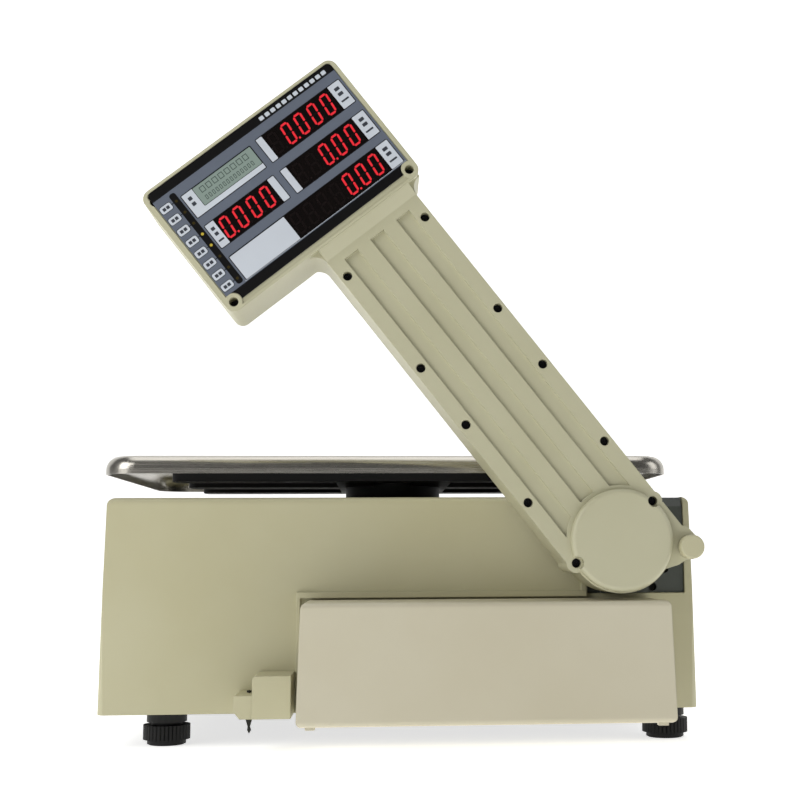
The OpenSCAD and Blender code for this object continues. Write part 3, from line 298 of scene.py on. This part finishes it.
def in_mast(point):
    """Millimetres across the mast and along it from the hub."""
    dx, dz = (point.x - hub.x) / MM, (point.z - hub.z) / MM
    return dx * math.cos(lean) + dz * math.sin(lean), dz * math.cos(lean) - dx * math.sin(lean)


finish("mast_front_shell", mast_abs)
finish("mast_rear_shell", mast_abs)
finish("hub_cap", mast_abs)


film_points = [in_mast(v.co) for v in nodes["customer_overlay"].data.vertices]
film_left = min(p[0] for p in film_points)
film_right = max(p[0] for p in film_points)
film_low = min(p[1] for p in film_points)
film_top = max(p[1] for p in film_points)
film_w = film_right - film_left
film_h = film_top - film_low


# --- Screws --------------------------------------------------------------------------------
# Black-oxide screws with a cross recess hold the mast shells together, deep in their holes.
# Their places come from the screws that the frame holds.
def oxide(name, colour, rough):
    """Dark conversion coating on steel: nearly black, with a soft metallic sheen."""
    material, tree, shader = new_material(name)
    worn = add(tree, "TexNoise", {"Scale": 1 / (1.5 * MM), "Detail": 3}, {"Vector": object_space(tree)})
    shine = add(tree, "MapRange", {"To Min": rough - 0.1, "To Max": rough + 0.15},
                {"Value": worn.outputs["Fac"]})
    tree.links.new(shine.outputs["Result"], shader.inputs["Roughness"])
    shader.inputs["Base Color"].default_value = linear(colour)
    shader.inputs["Metallic"].default_value = 0.8
    return material


black_oxide = oxide("steel, black oxide on screws", "#17171A", 0.45)
finish("mast_screws", black_oxide)


def node_socket(tree, name, kind, value):
    """Adds an input with a starting value to a geometry tree."""
    socket = tree.interface.new_socket(name, in_out="INPUT", socket_type=kind)
    socket.default_value = value


def geometry_tree(name):
    """An empty node tree for a modifier, with its geometry in and out."""
    tree = bpy.data.node_groups.new(name, "GeometryNodeTree")
    tree.interface.new_socket("Places", in_out="INPUT", socket_type="NodeSocketGeometry")
    tree.interface.new_socket("Geometry", in_out="OUTPUT", socket_type="NodeSocketGeometry")
    return tree


def grow(name, places, tree, values, body):
    """Runs a tree over a cloud of places and keeps the result as a plain mesh."""
    cloud = bpy.data.meshes.new(name + "_places")
    cloud.from_pydata(places, [], [])
    carrier = bpy.data.objects.new(name + "_places", cloud)
    scene.collection.objects.link(carrier)
    modifier = carrier.modifiers.new("grow", "NODES")
    modifier.node_group = tree
    for socket in tree.interface.items_tree:
        if socket.item_type == "SOCKET" and socket.name in values:
            modifier[socket.identifier] = values[socket.name]
    bpy.context.view_layer.update()
    evaluated = carrier.evaluated_get(bpy.context.evaluated_depsgraph_get())
    mesh = bpy.data.meshes.new_from_object(evaluated)
    piece = bpy.data.objects.new(name, mesh)
    bpy.data.objects.remove(carrier)
    scene.collection.objects.link(piece)
    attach(piece, body)
    return piece


def put_on_places(tree, inputs, shape, material):
    """Puts a turned copy of the shape on every place, as real geometry in one material."""
    turn = new_node(tree, "FunctionNodeEulerToRotation", {}, {"Euler": inputs.outputs["Turn"]})
    placed = new_node(tree, "GeometryNodeInstanceOnPoints", {}, {
        "Points": inputs.outputs["Places"], "Instance": shape, "Rotation": turn.outputs["Rotation"]})
    real = new_node(tree, "GeometryNodeRealizeInstances", {}, {"Geometry": placed.outputs["Instances"]})
    dressed = new_node(tree, "GeometryNodeSetMaterial", {"Material": material},
                       {"Geometry": real.outputs["Geometry"]})
    out = tree.nodes.new("NodeGroupOutput")
    tree.links.new(dressed.outputs["Geometry"], out.inputs["Geometry"])


def screw_tree(material):
    """A low round screw head with a cross recess, on every place."""
    recess_reach, recess_lift = 1.3, 0.6
    tree = geometry_tree("cross_recess_screw")
    node_socket(tree, "Head radius", "NodeSocketFloat", 2.4 * MM)
    node_socket(tree, "Head height", "NodeSocketFloat", 1.2 * MM)
    node_socket(tree, "Slot width", "NodeSocketFloat", 0.7 * MM)
    node_socket(tree, "Turn", "NodeSocketVector", (0, 0, 0))
    inputs = tree.nodes.new("NodeGroupInput")
    radius, height = inputs.outputs["Head radius"], inputs.outputs["Head height"]
    head = new_node(tree, "GeometryNodeMeshCylinder", {"Vertices": 24}, {"Radius": radius, "Depth": height})
    length = new_node(tree, "ShaderNodeMath", {"operation": "MULTIPLY", 1: recess_reach}, {0: radius})
    up = new_node(tree, "ShaderNodeCombineXYZ", {}, {"Z": height})
    lift = new_node(tree, "ShaderNodeVectorMath", {"operation": "SCALE", "Scale": recess_lift}, {0: up.outputs[0]})
    slotted = head.outputs["Mesh"]
    for first, second in (("X", "Y"), ("Y", "X")):
        size = new_node(tree, "ShaderNodeCombineXYZ", {}, {
            first: length.outputs[0], second: inputs.outputs["Slot width"], "Z": height})
        bar = new_node(tree, "GeometryNodeMeshCube", {}, {"Size": size.outputs[0]})
        lifted = new_node(tree, "GeometryNodeTransform", {}, {
            "Geometry": bar.outputs["Mesh"], "Translation": lift.outputs[0]})
        cut = new_node(tree, "GeometryNodeMeshBoolean", {"operation": "DIFFERENCE", "solver": "EXACT"}, {
            "Mesh 1": slotted, "Mesh 2": lifted.outputs["Geometry"]})
        slotted = cut.outputs["Mesh"]
    put_on_places(tree, inputs, slotted, material)
    return tree


def islands(name):
    """The points of each separate solid in a node."""
    skin = merged_copy(name)
    left = set(skin.verts)
    found = []
    for start in skin.verts:
        if start not in left:
            continue
        left.remove(start)
        group, queue = [], [start]
        while queue:
            vertex = queue.pop()
            group.append(vertex.co.copy())
            for edge in vertex.link_edges:
                other = edge.other_vert(vertex)
                if other in left:
                    left.remove(other)
                    queue.append(other)
        found.append(group)
    skin.free()
    return found


head_proud, recess_turn = 0.55 * MM, 0.6
screw_places = []
for group in islands("mast_screws"):
    centre = sum(group, Vector()) / len(group)
    screw_places.append((centre.x, min(p.y for p in group) - head_proud, centre.z))
screw_heads = grow("mast_screw_heads", screw_places, screw_tree(black_oxide),
                   {"Turn": (math.pi / 2, recess_turn, 0)}, "mast")

# --- Display windows -----------------------------------------------------------------------
# Each face of the head carries a printed polyester film: a blue-grey field between black bands,
# silver label plates, dark red windows over the digit modules, and a clear one over the LCD.
def printed(name, colour, rough, coat=0.0):
    """Screen-printed ink under a satin film: flat colour with the faint tooth of the film."""
    material, tree, shader = new_material(name)
    place = object_space(tree)
    tooth = add(tree, "TexNoise", {"Scale": 1 / (0.25 * MM), "Detail": 2}, {"Vector": place})
    cloud = add(tree, "TexNoise", {"Scale": 1 / (35 * MM), "Detail": 2}, {"Vector": place})
    base = linear(colour)
    darker = tuple(c * 0.88 for c in base[:3]) + (1,)
    ink = add(tree, "Mix", {"data_type": "RGBA", 6: darker, 7: base}, {"Factor": cloud.outputs["Fac"]})
    bump = add(tree, "Bump", {"Strength": 0.25, "Distance": 0.01 * MM}, {"Height": tooth.outputs["Fac"]})
    tree.links.new(ink.outputs[2], shader.inputs["Base Color"])
    tree.links.new(bump.outputs["Normal"], shader.inputs["Normal"])
    shader.inputs["Roughness"].default_value = rough
    shader.inputs["Specular IOR Level"].default_value = 0.3
    shader.inputs["Coat Weight"].default_value = coat
    shader.inputs["Coat Roughness"].default_value = 0.12
    return material


def lit(name, colour, strength, body_colour):
    """A light-emitting segment or lamp seen through the film."""
    material, tree, shader = new_material(name)
    glow = add(tree, "TexNoise", {"Scale": 1 / (1.6 * MM), "Detail": 1}, {"Vector": object_space(tree)})
    level = add(tree, "MapRange", {"To Min": strength * 0.8, "To Max": strength * 1.15},
                {"Value": glow.outputs["Fac"]})
    tree.links.new(level.outputs["Result"], shader.inputs["Emission Strength"])
    shader.inputs["Base Color"].default_value = linear(body_colour)
    shader.inputs["Emission Color"].default_value = linear(colour)
    shader.inputs["Roughness"].default_value = 0.35
    return material


black_ink = printed("polyester film, black ink", "#0C0B0C", 0.32)
field_ink = printed("polyester film, blue-grey ink", "#646B78", 0.42)
silver_ink = printed("polyester film, silver-white ink", "#CCD2DA", 0.4)
mark_ink = printed("polyester film, dark grey marks", "#3A3D45", 0.4)
window_ink = printed("acrylic window, smoked red", "#0B0605", 0.2)
lcd_glass = printed("liquid crystal cell, grey-green", "#8A9A92", 0.2, coat=0.4)
lcd_cells = printed("liquid crystal, darkened cells", "#4E5A55", 0.25)
red_glow = lit("light-emitting segment, red", "#EE2A36", 0.95, "#2A0404")
red_rest = printed("light-emitting segment, unlit", "#0F0706", 0.3)
amber_glow = lit("indicator lamp, amber", "#C9B23A", 0.8, "#4A4012")
amber_rest = printed("indicator lamp, unlit", "#3A3110", 0.3)


class Film:
    """Collects printed shapes for one face of the head, drawn from the film's lower left corner."""

    def __init__(self, side, face_y, facing):
        self.side, self.face_y, self.facing = side, face_y, facing

    def to_world(self, x, y, lift):
        across = film_left + x if self.facing < 0 else film_right - x
        return mast_point(across, film_low + y, self.face_y + self.facing * lift * MM)

    def layer(self, name, outlines, material, lift, thickness):
        """Flat shapes of one ink, raised by lift, each a closed slab of its own thickness."""
        skin = bmesh.new()
        for outline in outlines:
            top = [skin.verts.new(self.to_world(x, y, lift)) for x, y in outline]
            low = [skin.verts.new(self.to_world(x, y, lift - thickness)) for x, y in outline]
            count = len(outline)
            skin.faces.new(top)
            skin.faces.new(low[::-1])
            for i in range(count):
                j = (i + 1) % count
                skin.faces.new((top[j], top[i], low[i], low[j]))
        bmesh.ops.recalc_face_normals(skin, faces=skin.faces)
        piece = make_piece(self.side + "_" + name, skin, material, "mast", smooth_under=25)
        return piece


def arc(centre_x, centre_y, radius, start, end, steps):
    """Points of an arc between two angles in degrees."""
    angles = [math.radians(start + (end - start) * step / steps) for step in range(steps + 1)]
    return [(centre_x + radius * math.cos(a), centre_y + radius * math.sin(a)) for a in angles]


def rounded(x0, y0, x1, y1, radius=0.0, steps=5):
    """A rectangle with round corners."""
    if radius <= 0:
        return [(x0, y0), (x1, y0), (x1, y1), (x0, y1)]
    corners = ((x1 - radius, y0 + radius, -90), (x1 - radius, y1 - radius, 0),
               (x0 + radius, y1 - radius, 90), (x0 + radius, y0 + radius, 180))
    return [point for cx, cy, start in corners for point in arc(cx, cy, radius, start, start + 90, steps)]


def grown_box(box, by):
    return box[0] - by, box[1] - by, box[2] + by, box[3] + by


def film_outline(inset):
    """The film's outline with a round notch at each lower screw."""
    notch_r, notch_in, notch_up, notch_steps = 5.4 + inset, 2.1, 4.2, 12
    corner, corner_steps = 3, 5
    right, top = film_w - inset, film_h - inset
    right_notch = arc(film_w - notch_in, notch_up, notch_r, 188, 82, notch_steps)
    left_notch = arc(notch_in, notch_up, notch_r, 90, -16, notch_steps)
    points = [(min(x, right), max(y, inset)) for x, y in right_notch]
    points.append((right, film_h - corner))
    points += arc(right - corner, top - corner, corner, 0, 90, corner_steps)[1:]
    points += arc(inset + corner, top - corner, corner, 90, 180, corner_steps)[:-1]
    points += [(max(x, inset), max(y, inset)) for x, y in left_notch]
    return points


# Layout of one face in millimetres: three rows of windows on the right, each with a label plate
# at its right end, and on the left a column of lamps, a blank plate, the tare window and the LCD.
band_top = 6.2
band_low = 9.3
right_edge = film_w - 2.3
windows_end = film_w - 11.1
window_left = [windows_end - width for width in (72, 51.6, 51.6)]
bar_w = 4.4
row_low = [10.4, 34.3, 59.0]
row_h = 17.4
tare_box = (16.6, 34.9, 69.2, 52.2)
lcd_frame = (16.6, 59.0, 69.2, 75.7)
lcd_box = (24.9, 62.6, 69.0, 75.5)
blank_box = (16.7, 10.4, 58.6, 27.6)
lamp_x, lamp_r = 12.7, 0.95
lamp_top, lamp_pitch = 75.3, 8.7
lamp_ys = [lamp_top - lamp_pitch * i for i in range(8)]
slant = math.tan(math.radians(6))


def segment(x0, y0, x1, y1, width):
    """One bar of a digit with pointed ends."""
    dx, dy = x1 - x0, y1 - y0
    length = math.hypot(dx, dy)
    ax, ay = dx / length, dy / length
    nx, ny = -ay * width / 2, ax * width / 2
    ex, ey = ax * width / 2, ay * width / 2
    return [(x0, y0), (x0 + ex - nx, y0 + ey - ny), (x1 - ex - nx, y1 - ey - ny), (x1, y1),
            (x1 - ex + nx, y1 - ey + ny), (x0 + ex + nx, y0 + ey + ny)]


def digit(x, y, lit_segments):
    """Lit and unlit bars of a seven-segment digit whose lower left corner is at x, y."""
    w, h, stroke, gap = 4.9, 12.9, 1.35, 0.2
    ends = {
        "a": (0, h, w, h), "b": (w, h / 2, w, h), "c": (w, 0, w, h / 2), "d": (0, 0, w, 0),
        "e": (0, 0, 0, h / 2), "f": (0, h / 2, 0, h), "g": (0, h / 2, w, h / 2),
    }
    on, off = [], []
    for key, (x0, y0, x1, y1) in ends.items():
        if x0 == x1:
            bar = segment(x0, y0 + gap, x1, y1 - gap, stroke)
        else:
            bar = segment(x0 + gap, y0, x1 - gap, y1, stroke)
        bar = [(x + px + py * slant, y + py) for px, py in bar]
        (on if key in lit_segments else off).append(bar)
    return on, off


def dot(x, y, radius, steps=12):
    return [(x + radius * math.cos(math.tau * i / steps), y + radius * math.sin(math.tau * i / steps))
            for i in range(steps)]


def readout(right, low, lit_count, all_count, pitch, point_after):
    """Segments of one window, from its right end: zeros with a point, then blank digits."""
    digit_in, digit_up = 9.45, 2.2
    point_in, point_up, point_r = 6.9, 2.3, 0.7
    on, off = [], []
    for i in range(all_count):
        x = right - digit_in - i * pitch
        bars_on, bars_off = digit(x, low + digit_up, "abcdef" if i < lit_count else "")
        on += bars_on
        off += bars_off
        spot = dot(x + point_in, low + point_up, point_r)
        (on if i == point_after else off).append(spot)
    return on, off


def draw_face(side, face_y, facing):
    film = Film(side, face_y, facing)
    base = film.layer("film", [film_outline(0.15)], black_ink, 0, 0.75)
    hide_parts(side + "_overlay")
    film.layer("field", [rounded(0.4, band_low, film_w - 0.4, film_h - band_top)], field_ink, 0.03, 0.02)
    windows = [(window_left[i], row_low[i], windows_end, row_low[i] + row_h) for i in range(3)]
    plates = [(windows_end, row_low[i], right_edge, row_low[i] + row_h) for i in range(3)]
    bars = [(window_left[i] - bar_w, row_low[i], window_left[i], row_low[i] + row_h) for i in (1, 2)]
    tare_plate_w, tare_bar_w = 6.3, 4.6
    tare_plate = (tare_box[0], tare_box[1], tare_box[0] + tare_plate_w, tare_box[3])
    tare_window = (tare_box[0] + 6.5, tare_box[1], tare_box[2] - tare_bar_w, tare_box[3])
    tare_bar = (tare_box[2] - tare_bar_w, tare_box[1], tare_box[2], tare_box[3])
    groups = [(b[0], b[1], right_edge, b[3]) for b in bars]
    groups += [(blank_box[0], row_low[0], right_edge, row_low[0] + row_h), tare_box, lcd_frame]
    tags = [(1.1, y - 2.35, 8.9, y + 2.35) for y in lamp_ys]
    strip = rounded(10.6, 10.7, 15.0, 80.9, 1.8)
    outlines = [rounded(*grown_box(g, 0.55), 1.0) for g in groups]
    outlines += [rounded(*grown_box(t, 0.35), 1.5) for t in tags] + [strip]
    outlines += [rounded(8.9, y - 0.25, 10.8, y + 0.25) for y in lamp_ys]
    film.layer("keylines", outlines, black_ink, 0.06, 0.02)
    silver = [rounded(*b, 0.5) for b in plates + bars + [tare_plate, tare_bar, blank_box, lcd_frame]]
    silver += [rounded(*t, 1.2) for t in tags]
    silver += [rounded(15.4, 9.85, film_w - 0.6, 10.05)]
    title_start, title_pitch = 84.5, 4.4
    silver += [rounded(title_start + i * title_pitch, film_h - 4.9, title_start + i * title_pitch + 3.1,
                       film_h - 2.3, 0.5) for i in range(12)]
    film.layer("plates", silver, silver_ink, 0.09, 0.02)
    smoked = [rounded(*w, 0.4) for w in windows + [tare_window]]
    film.layer("windows", smoked, window_ink, 0.1, 0.03)
    marks = []
    for x0, y0, x1, y1 in plates + [tare_plate]:
        centre = (x0 + x1) / 2
        half = (x1 - x0) * 0.2
        marks += [rounded(centre - half, y1 - 5.4, centre + half, y1 - 3.2, 0.4),
                  rounded(centre - half, y1 - 9.2, centre + half, y1 - 7.0, 0.4),
                  rounded(centre - 1.6 * half, y1 - 13.4, centre + 1.6 * half, y1 - 12.2, 0.4)]
    for x0, y0, x1, y1 in tags:
        marks += [rounded(x0 + 1.5, y0 + 1.3, x0 + 3.6, y1 - 1.3, 0.3),
                  rounded(x0 + 4.2, y0 + 1.3, x0 + 6.3, y1 - 1.3, 0.3)]
    marks += [rounded(19.0, 70.2, 21.6, 72.6, 0.4), rounded(19.0, 66.2, 21.6, 68.6, 0.4)]
    film.layer("marks", marks, mark_ink, 0.12, 0.02)
    film.layer("lcd_border", [rounded(*grown_box(lcd_box, 0.35), 0.8)], black_ink, 0.11, 0.02)
    film.layer("lcd_window", [rounded(*lcd_box, 0.6)], lcd_glass, 0.13, 0.02)
    cells = []
    for i in range(8):
        x, y = lcd_box[0] + 3.4 + i * 4.7, lcd_box[1] + 7.2
        cells += [rounded(x, y, x + 3.4, y + 0.5), rounded(x, y + 3.4, x + 3.4, y + 3.9),
                  rounded(x, y + 0.5, x + 0.5, y + 3.4), rounded(x + 2.9, y + 0.5, x + 3.4, y + 3.4)]
    for i in range(14):
        x, y = lcd_box[0] + 3.4 + i * 2.7, lcd_box[1] + 2.0
        cells += [rounded(x, y, x + 1.6, y + 0.4), rounded(x, y + 2.6, x + 1.6, y + 3.0),
                  rounded(x, y + 0.4, x + 0.4, y + 2.6), rounded(x + 1.2, y + 0.4, x + 1.6, y + 2.6)]
    film.layer("lcd_cells", cells, lcd_cells, 0.15, 0.02)
    on, off = [], []
    for right, low, count, total, pitch, point in (
        (windows_end, row_low[2], 4, 5, 10.15, 3), (windows_end, row_low[1], 3, 5, 10.15, 2),
        (windows_end, row_low[0], 3, 7, 10.15, 2), (tare_window[2] + 0.1, tare_box[1], 4, 4, 10.3, 3),
    ):
        bars_on, bars_off = readout(right, low, count, total, pitch, point)
        on += bars_on
        off += bars_off
    film.layer("segments_lit", on, red_glow, 0.13, 0.02)
    film.layer("segments_unlit", off, red_rest, 0.12, 0.01)
    lamps_on = lamp_ys[3:5]
    lamps_off = lamp_ys[:3] + lamp_ys[5:]
    film.layer("lamps_lit", [dot(lamp_x, y, lamp_r) for y in lamps_on], amber_glow, 0.12, 0.03)
    film.layer("lamps_unlit", [dot(lamp_x, y, lamp_r) for y in lamps_off], amber_rest, 0.11, 0.03)


draw_face("customer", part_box("customer_overlay")[0].y, -1)
draw_face("operator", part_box("operator_overlay")[1].y, 1)

# --- Platter -------------------------------------------------------------------------------
# The platter is drawn from 1.2 mm stainless sheet and brushed along its length. It rests by
# four rubber pads on a black cast spider.
def brushed(name, colour, rough, along_mm=45, line_mm=0.35, depth=0.012, metallic=1.0):
    """Brushed sheet metal: long fine scratches, with broad soft streaks in the shine."""
    material, tree, shader = new_material(name)
    stretch = add(tree, "Mapping", {"Scale": (1 / (along_mm * MM), 1 / (line_mm * MM), 1 / (line_mm * MM))},
                  {"Vector": object_space(tree)})
    lines = add(tree, "TexNoise", {"Scale": 1, "Detail": 3, "Roughness": 0.6},
                {"Vector": stretch.outputs["Vector"]})
    shine = add(tree, "MapRange", {"From Min": 0.25, "From Max": 0.75, "To Min": rough - 0.08,
                                   "To Max": rough + 0.1}, {"Value": lines.outputs["Fac"]})
    tint = add(tree, "Mix", {"data_type": "RGBA", 6: linear(colour), 7: tuple(
        c * 0.82 for c in linear(colour)[:3]) + (1,)}, {"Factor": lines.outputs["Fac"]})
    bump = add(tree, "Bump", {"Strength": 0.3, "Distance": depth * MM}, {"Height": lines.outputs["Fac"]})
    tree.links.new(tint.outputs[2], shader.inputs["Base Color"])
    tree.links.new(shine.outputs["Result"], shader.inputs["Roughness"])
    tree.links.new(bump.outputs["Normal"], shader.inputs["Normal"])
    shader.inputs["Metallic"].default_value = metallic
    return material


stainless = brushed("stainless steel, brushed", "#B9B5AC", 0.26)
finish("platter", stainless)


def coated(name, colour, rough, peel_mm=1.2, depth=0.05, fleck=0.75):
    """Powder coat or thick paint over a casting: orange peel and a low satin shine."""
    material, tree, shader = new_material(name)
    place = object_space(tree)
    peel = add(tree, "TexNoise", {"Scale": 1 / (peel_mm * MM), "Detail": 2}, {"Vector": place})
    dust = add(tree, "TexNoise", {"Scale": 1 / (18 * MM), "Detail": 5}, {"Vector": place})
    base = linear(colour)
    tint = add(tree, "Mix", {"data_type": "RGBA", 6: tuple(c * fleck for c in base[:3]) + (1,), 7: base},
               {"Factor": dust.outputs["Fac"]})
    bump = add(tree, "Bump", {"Strength": 0.4, "Distance": depth * MM}, {"Height": peel.outputs["Fac"]})
    shine = add(tree, "MapRange", {"To Min": rough - 0.08, "To Max": rough + 0.12},
                {"Value": dust.outputs["Fac"]})
    tree.links.new(tint.outputs[2], shader.inputs["Base Color"])
    tree.links.new(shine.outputs["Result"], shader.inputs["Roughness"])
    tree.links.new(bump.outputs["Normal"], shader.inputs["Normal"])
    shader.inputs["Specular IOR Level"].default_value = 0.3
    return material


black_coat = coated("cast aluminium, black powder coat", "#131313", 0.45)
finish("platter_spider", black_coat)
rubber = coated("rubber, moulded black", "#1A1A19", 0.7, peel_mm=0.5, depth=0.02)
finish("spider_pads", rubber)
finish("level_vial", coated("acrylic vial, tinted spirit", "#B9CF58", 0.08, depth=0.005, fleck=0.9))

# --- Base, feet and hinge ------------------------------------------------------------------
# A powder-coated steel plate closes the body. The levelling feet are black moulded nylon with a
# knurled ring, and the mast hangs on a painted casting in the corner of the customer wall.
finish("base_plate", coated("steel plate, black powder coat", "#1E1E1D", 0.5))
foot_nylon = coated("nylon, moulded black", "#101010", 0.5, peel_mm=0.6, depth=0.03, fleck=0.6)
slate = coated("casting, slate grey paint", "#50544F", 0.42, depth=0.04, fleck=0.85)
for name in ("foot_front_left", "foot_front_right", "foot_back_left", "foot_back_right"):
    finish(name, foot_nylon)
finish("hinge_bracket", slate)
finish("hinge_blocks", slate)
turned = brushed("steel, turned bright", "#C4C6C8", 0.22, along_mm=0.3, line_mm=0.3)
finish("hinge_shaft", turned)
finish("cover_hinge_pin", turned)
finish("lock_spring", turned)
finish("head_pin", turned)
finish("friction_washer", coated("fibre, pressed", "#5A4C38", 0.75, peel_mm=0.4))
finish("mast_bush", brushed("bronze, sintered", "#B0925A", 0.4, along_mm=0.4, line_mm=0.4))

# --- Operator deck -------------------------------------------------------------------------
# The keypad is a printed membrane over raised key domes, set in a dark moulded bezel that is
# screwed to the sloped deck. The legends here are plain bars.
finish("keypad_bezel", moulded_plastic("ABS, moulded, dark grey bezel", "#4A4C4F", "#44464A", rough=0.45))
finish("keypad_membrane", printed("polyester membrane, pale blue-grey", "#A9B4C2", 0.38, coat=0.2))
bezel_low, bezel_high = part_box("keypad_bezel")


def key_tree(material):
    """A thin key face with round corners, on every place."""
    tree = geometry_tree("key_faces")
    node_socket(tree, "Key width", "NodeSocketFloat", 15 * MM)
    node_socket(tree, "Key height", "NodeSocketFloat", 14 * MM)
    node_socket(tree, "Key thickness", "NodeSocketFloat", 0.5 * MM)
    node_socket(tree, "Turn", "NodeSocketVector", (0, 0, 0))
    inputs = tree.nodes.new("NodeGroupInput")
    outline = new_node(tree, "GeometryNodeCurvePrimitiveQuadrilateral", {}, {
        "Width": inputs.outputs["Key width"], "Height": inputs.outputs["Key height"]})
    corners = {"mode": "POLY", "Count": 4, "Radius": 1.6 * MM, "Limit Radius": True}
    soft = new_node(tree, "GeometryNodeFilletCurve", corners, {"Curve": outline.outputs["Curve"]})
    flat = new_node(tree, "GeometryNodeFillCurve", {"mode": "NGONS"}, {"Curve": soft.outputs["Curve"]})
    thick = new_node(tree, "GeometryNodeExtrudeMesh", {"mode": "FACES"}, {
        "Mesh": flat.outputs["Mesh"], "Offset Scale": inputs.outputs["Key thickness"]})
    put_on_places(tree, inputs, thick.outputs["Mesh"], material)
    return tree


deck_slope = math.radians(34)
deck_down = Vector((0, math.cos(deck_slope), -math.sin(deck_slope)))
deck_out = Vector((0, math.sin(deck_slope), math.cos(deck_slope)))
# The keys lie on the membrane's face, which is its farthest level outwards from the deck
membrane = [v.co for v in nodes["keypad_membrane"].data.vertices]
face_level = max(p.dot(deck_out) for p in membrane)
deck_start = min(p.dot(deck_down) for p in membrane)
deck_end = max(p.dot(deck_down) for p in membrane)
key_columns, key_rows = 14, 5
first_number_column, first_action_column = 9, 12
side_margin, end_margin, key_gap, key_thickness = 13 * MM, 6.5 * MM, 4.4 * MM, 0.25 * MM
key_pitch_x = (bezel_high.x - bezel_low.x - 2 * side_margin) / key_columns
key_pitch_y = (deck_end - deck_start - 2 * end_margin) / key_rows
key_inks = {
    "number": printed("membrane key, white", "#E8EAEC", 0.4),
    "action": printed("membrane key, orange", "#C9682E", 0.4),
    "preset": printed("membrane key, steel blue", "#5C7796", 0.4),
}
key_places = {kind: [] for kind in key_inks}
legend_places = []
for column in range(key_columns):
    kind = "number"
    if column < first_number_column:
        kind = "preset"
    if column >= first_action_column:
        kind = "action"
    for row in range(key_rows):
        x = (column - key_columns / 2 + 0.5) * key_pitch_x
        down = deck_start + end_margin + (row + 0.5) * key_pitch_y
        spot = Vector((x, 0, 0)) + deck_down * down + deck_out * face_level
        key_places[kind].append(spot)
        legend_places.append(spot + deck_out * key_thickness)
key_turn = (-deck_slope, 0, 0)
for kind, ink in key_inks.items():
    keys = grow("keys_" + kind, key_places[kind], key_tree(ink), {
        "Key width": key_pitch_x - key_gap, "Key height": key_pitch_y - key_gap,
        "Key thickness": key_thickness, "Turn": key_turn}, "base")
legends = grow("key_legends", legend_places, key_tree(mark_ink), {
    "Key width": 7 * MM, "Key height": 1.6 * MM, "Key thickness": 0.04 * MM, "Turn": key_turn}, "base")

# --- Electronics ---------------------------------------------------------------------------
# Boards are green glass-epoxy with copper tracks under the mask. The supply is a zinc-plated
# box, and a flat ribbon runs up the mast to the displays.
def circuit_board():
    """Solder mask over copper: dark green with slightly paler straight tracks."""
    material, tree, shader = new_material("glass-epoxy board, green solder mask")
    tracks = add(tree, "TexBrick", {"Scale": 1 / (9 * MM), "Mortar Size": 0.06, "Color1": linear("#1D5A36"),
                                    "Color2": linear("#1A5230"), "Mortar": linear("#3C8152")},
                 {"Vector": object_space(tree)})
    tree.links.new(tracks.outputs["Color"], shader.inputs["Base Color"])
    shader.inputs["Roughness"].default_value = 0.3
    return material


board = circuit_board()
for name in ("keypad_board", "main_board", "customer_board", "operator_board"):
    finish(name, board)
zinc = brushed("steel sheet, zinc plated", "#B4B6B4", 0.35, along_mm=6, line_mm=2.5)
for name in ("power_supply", "data_ports", "printer_frame"):
    finish(name, zinc)
milled = brushed("aluminium, milled", "#C6C8CA", 0.32, along_mm=12, line_mm=0.5)
for name in ("load_cell", "load_cell_foot", "load_cell_head"):
    finish(name, milled)
socket_black = coated("nylon, glass filled black", "#121212", 0.5, peel_mm=0.5, depth=0.02)
for name in ("power_inlet", "power_switch", "label_sensor"):
    finish(name, socket_black)
grey_vinyl = brushed("ribbon cable, grey vinyl", "#8A8D92", 0.5, along_mm=60, line_mm=1.27, metallic=0)
finish("mast_cable", grey_vinyl)
for name in ("customer_digits", "operator_digits"):
    finish(name, printed("digit module, red epoxy", "#5A0A0C", 0.3))
for name in ("customer_lcd", "operator_lcd"):
    finish(name, lcd_glass)

# --- Printer -------------------------------------------------------------------------------
# Inside the cover, a plated frame carries a rubber platen with a nylon gear, a stepping motor,
# a hinged print head, the label roll on its hub and the spool that winds up the liner.
def rolled_paper(name, colour, edge, layer_mm):
    """Wound paper: the faint lines of its layers on the ends, and a soft matte face."""
    material, tree, shader = new_material(name)
    fibres = add(tree, "TexNoise", {"Scale": 1 / (layer_mm * MM), "Detail": 4},
                 {"Vector": object_space(tree)})
    tint = add(tree, "Mix", {"data_type": "RGBA", 6: linear(colour), 7: linear(edge)},
               {"Factor": fibres.outputs["Fac"]})
    bump = add(tree, "Bump", {"Strength": 0.3, "Distance": 0.02 * MM}, {"Height": fibres.outputs["Fac"]})
    tree.links.new(tint.outputs[2], shader.inputs["Base Color"])
    tree.links.new(bump.outputs["Normal"], shader.inputs["Normal"])
    shader.inputs["Roughness"].default_value = 0.75
    return material


label_paper = rolled_paper("label stock, coated white", "#F0F0EC", "#E2E2DC", 0.8)
finish("label_roll", label_paper)
finish("label_web", label_paper)
finish("rewind_spool", rolled_paper("liner, glassine", "#DCD4BC", "#CFC5A8", 0.8))
finish("platen_roller", rubber)
finish("platen_gear", moulded_plastic("nylon, moulded natural", "#DAD8CC", "#D2D0C2", rough=0.5))
finish("motor_pinion", brushed("brass, hobbed", "#BC9A55", 0.3, along_mm=1, line_mm=0.4))
dark_plastic = moulded_plastic("polycarbonate, dark grey", "#3A3C40", "#34363A", rough=0.45)
for name in ("print_motor", "print_head", "roll_hub"):
    finish(name, dark_plastic)
finish("seal_wire", coated("lead and wire, dark", "#22241F", 0.5, peel_mm=0.4, depth=0.06))
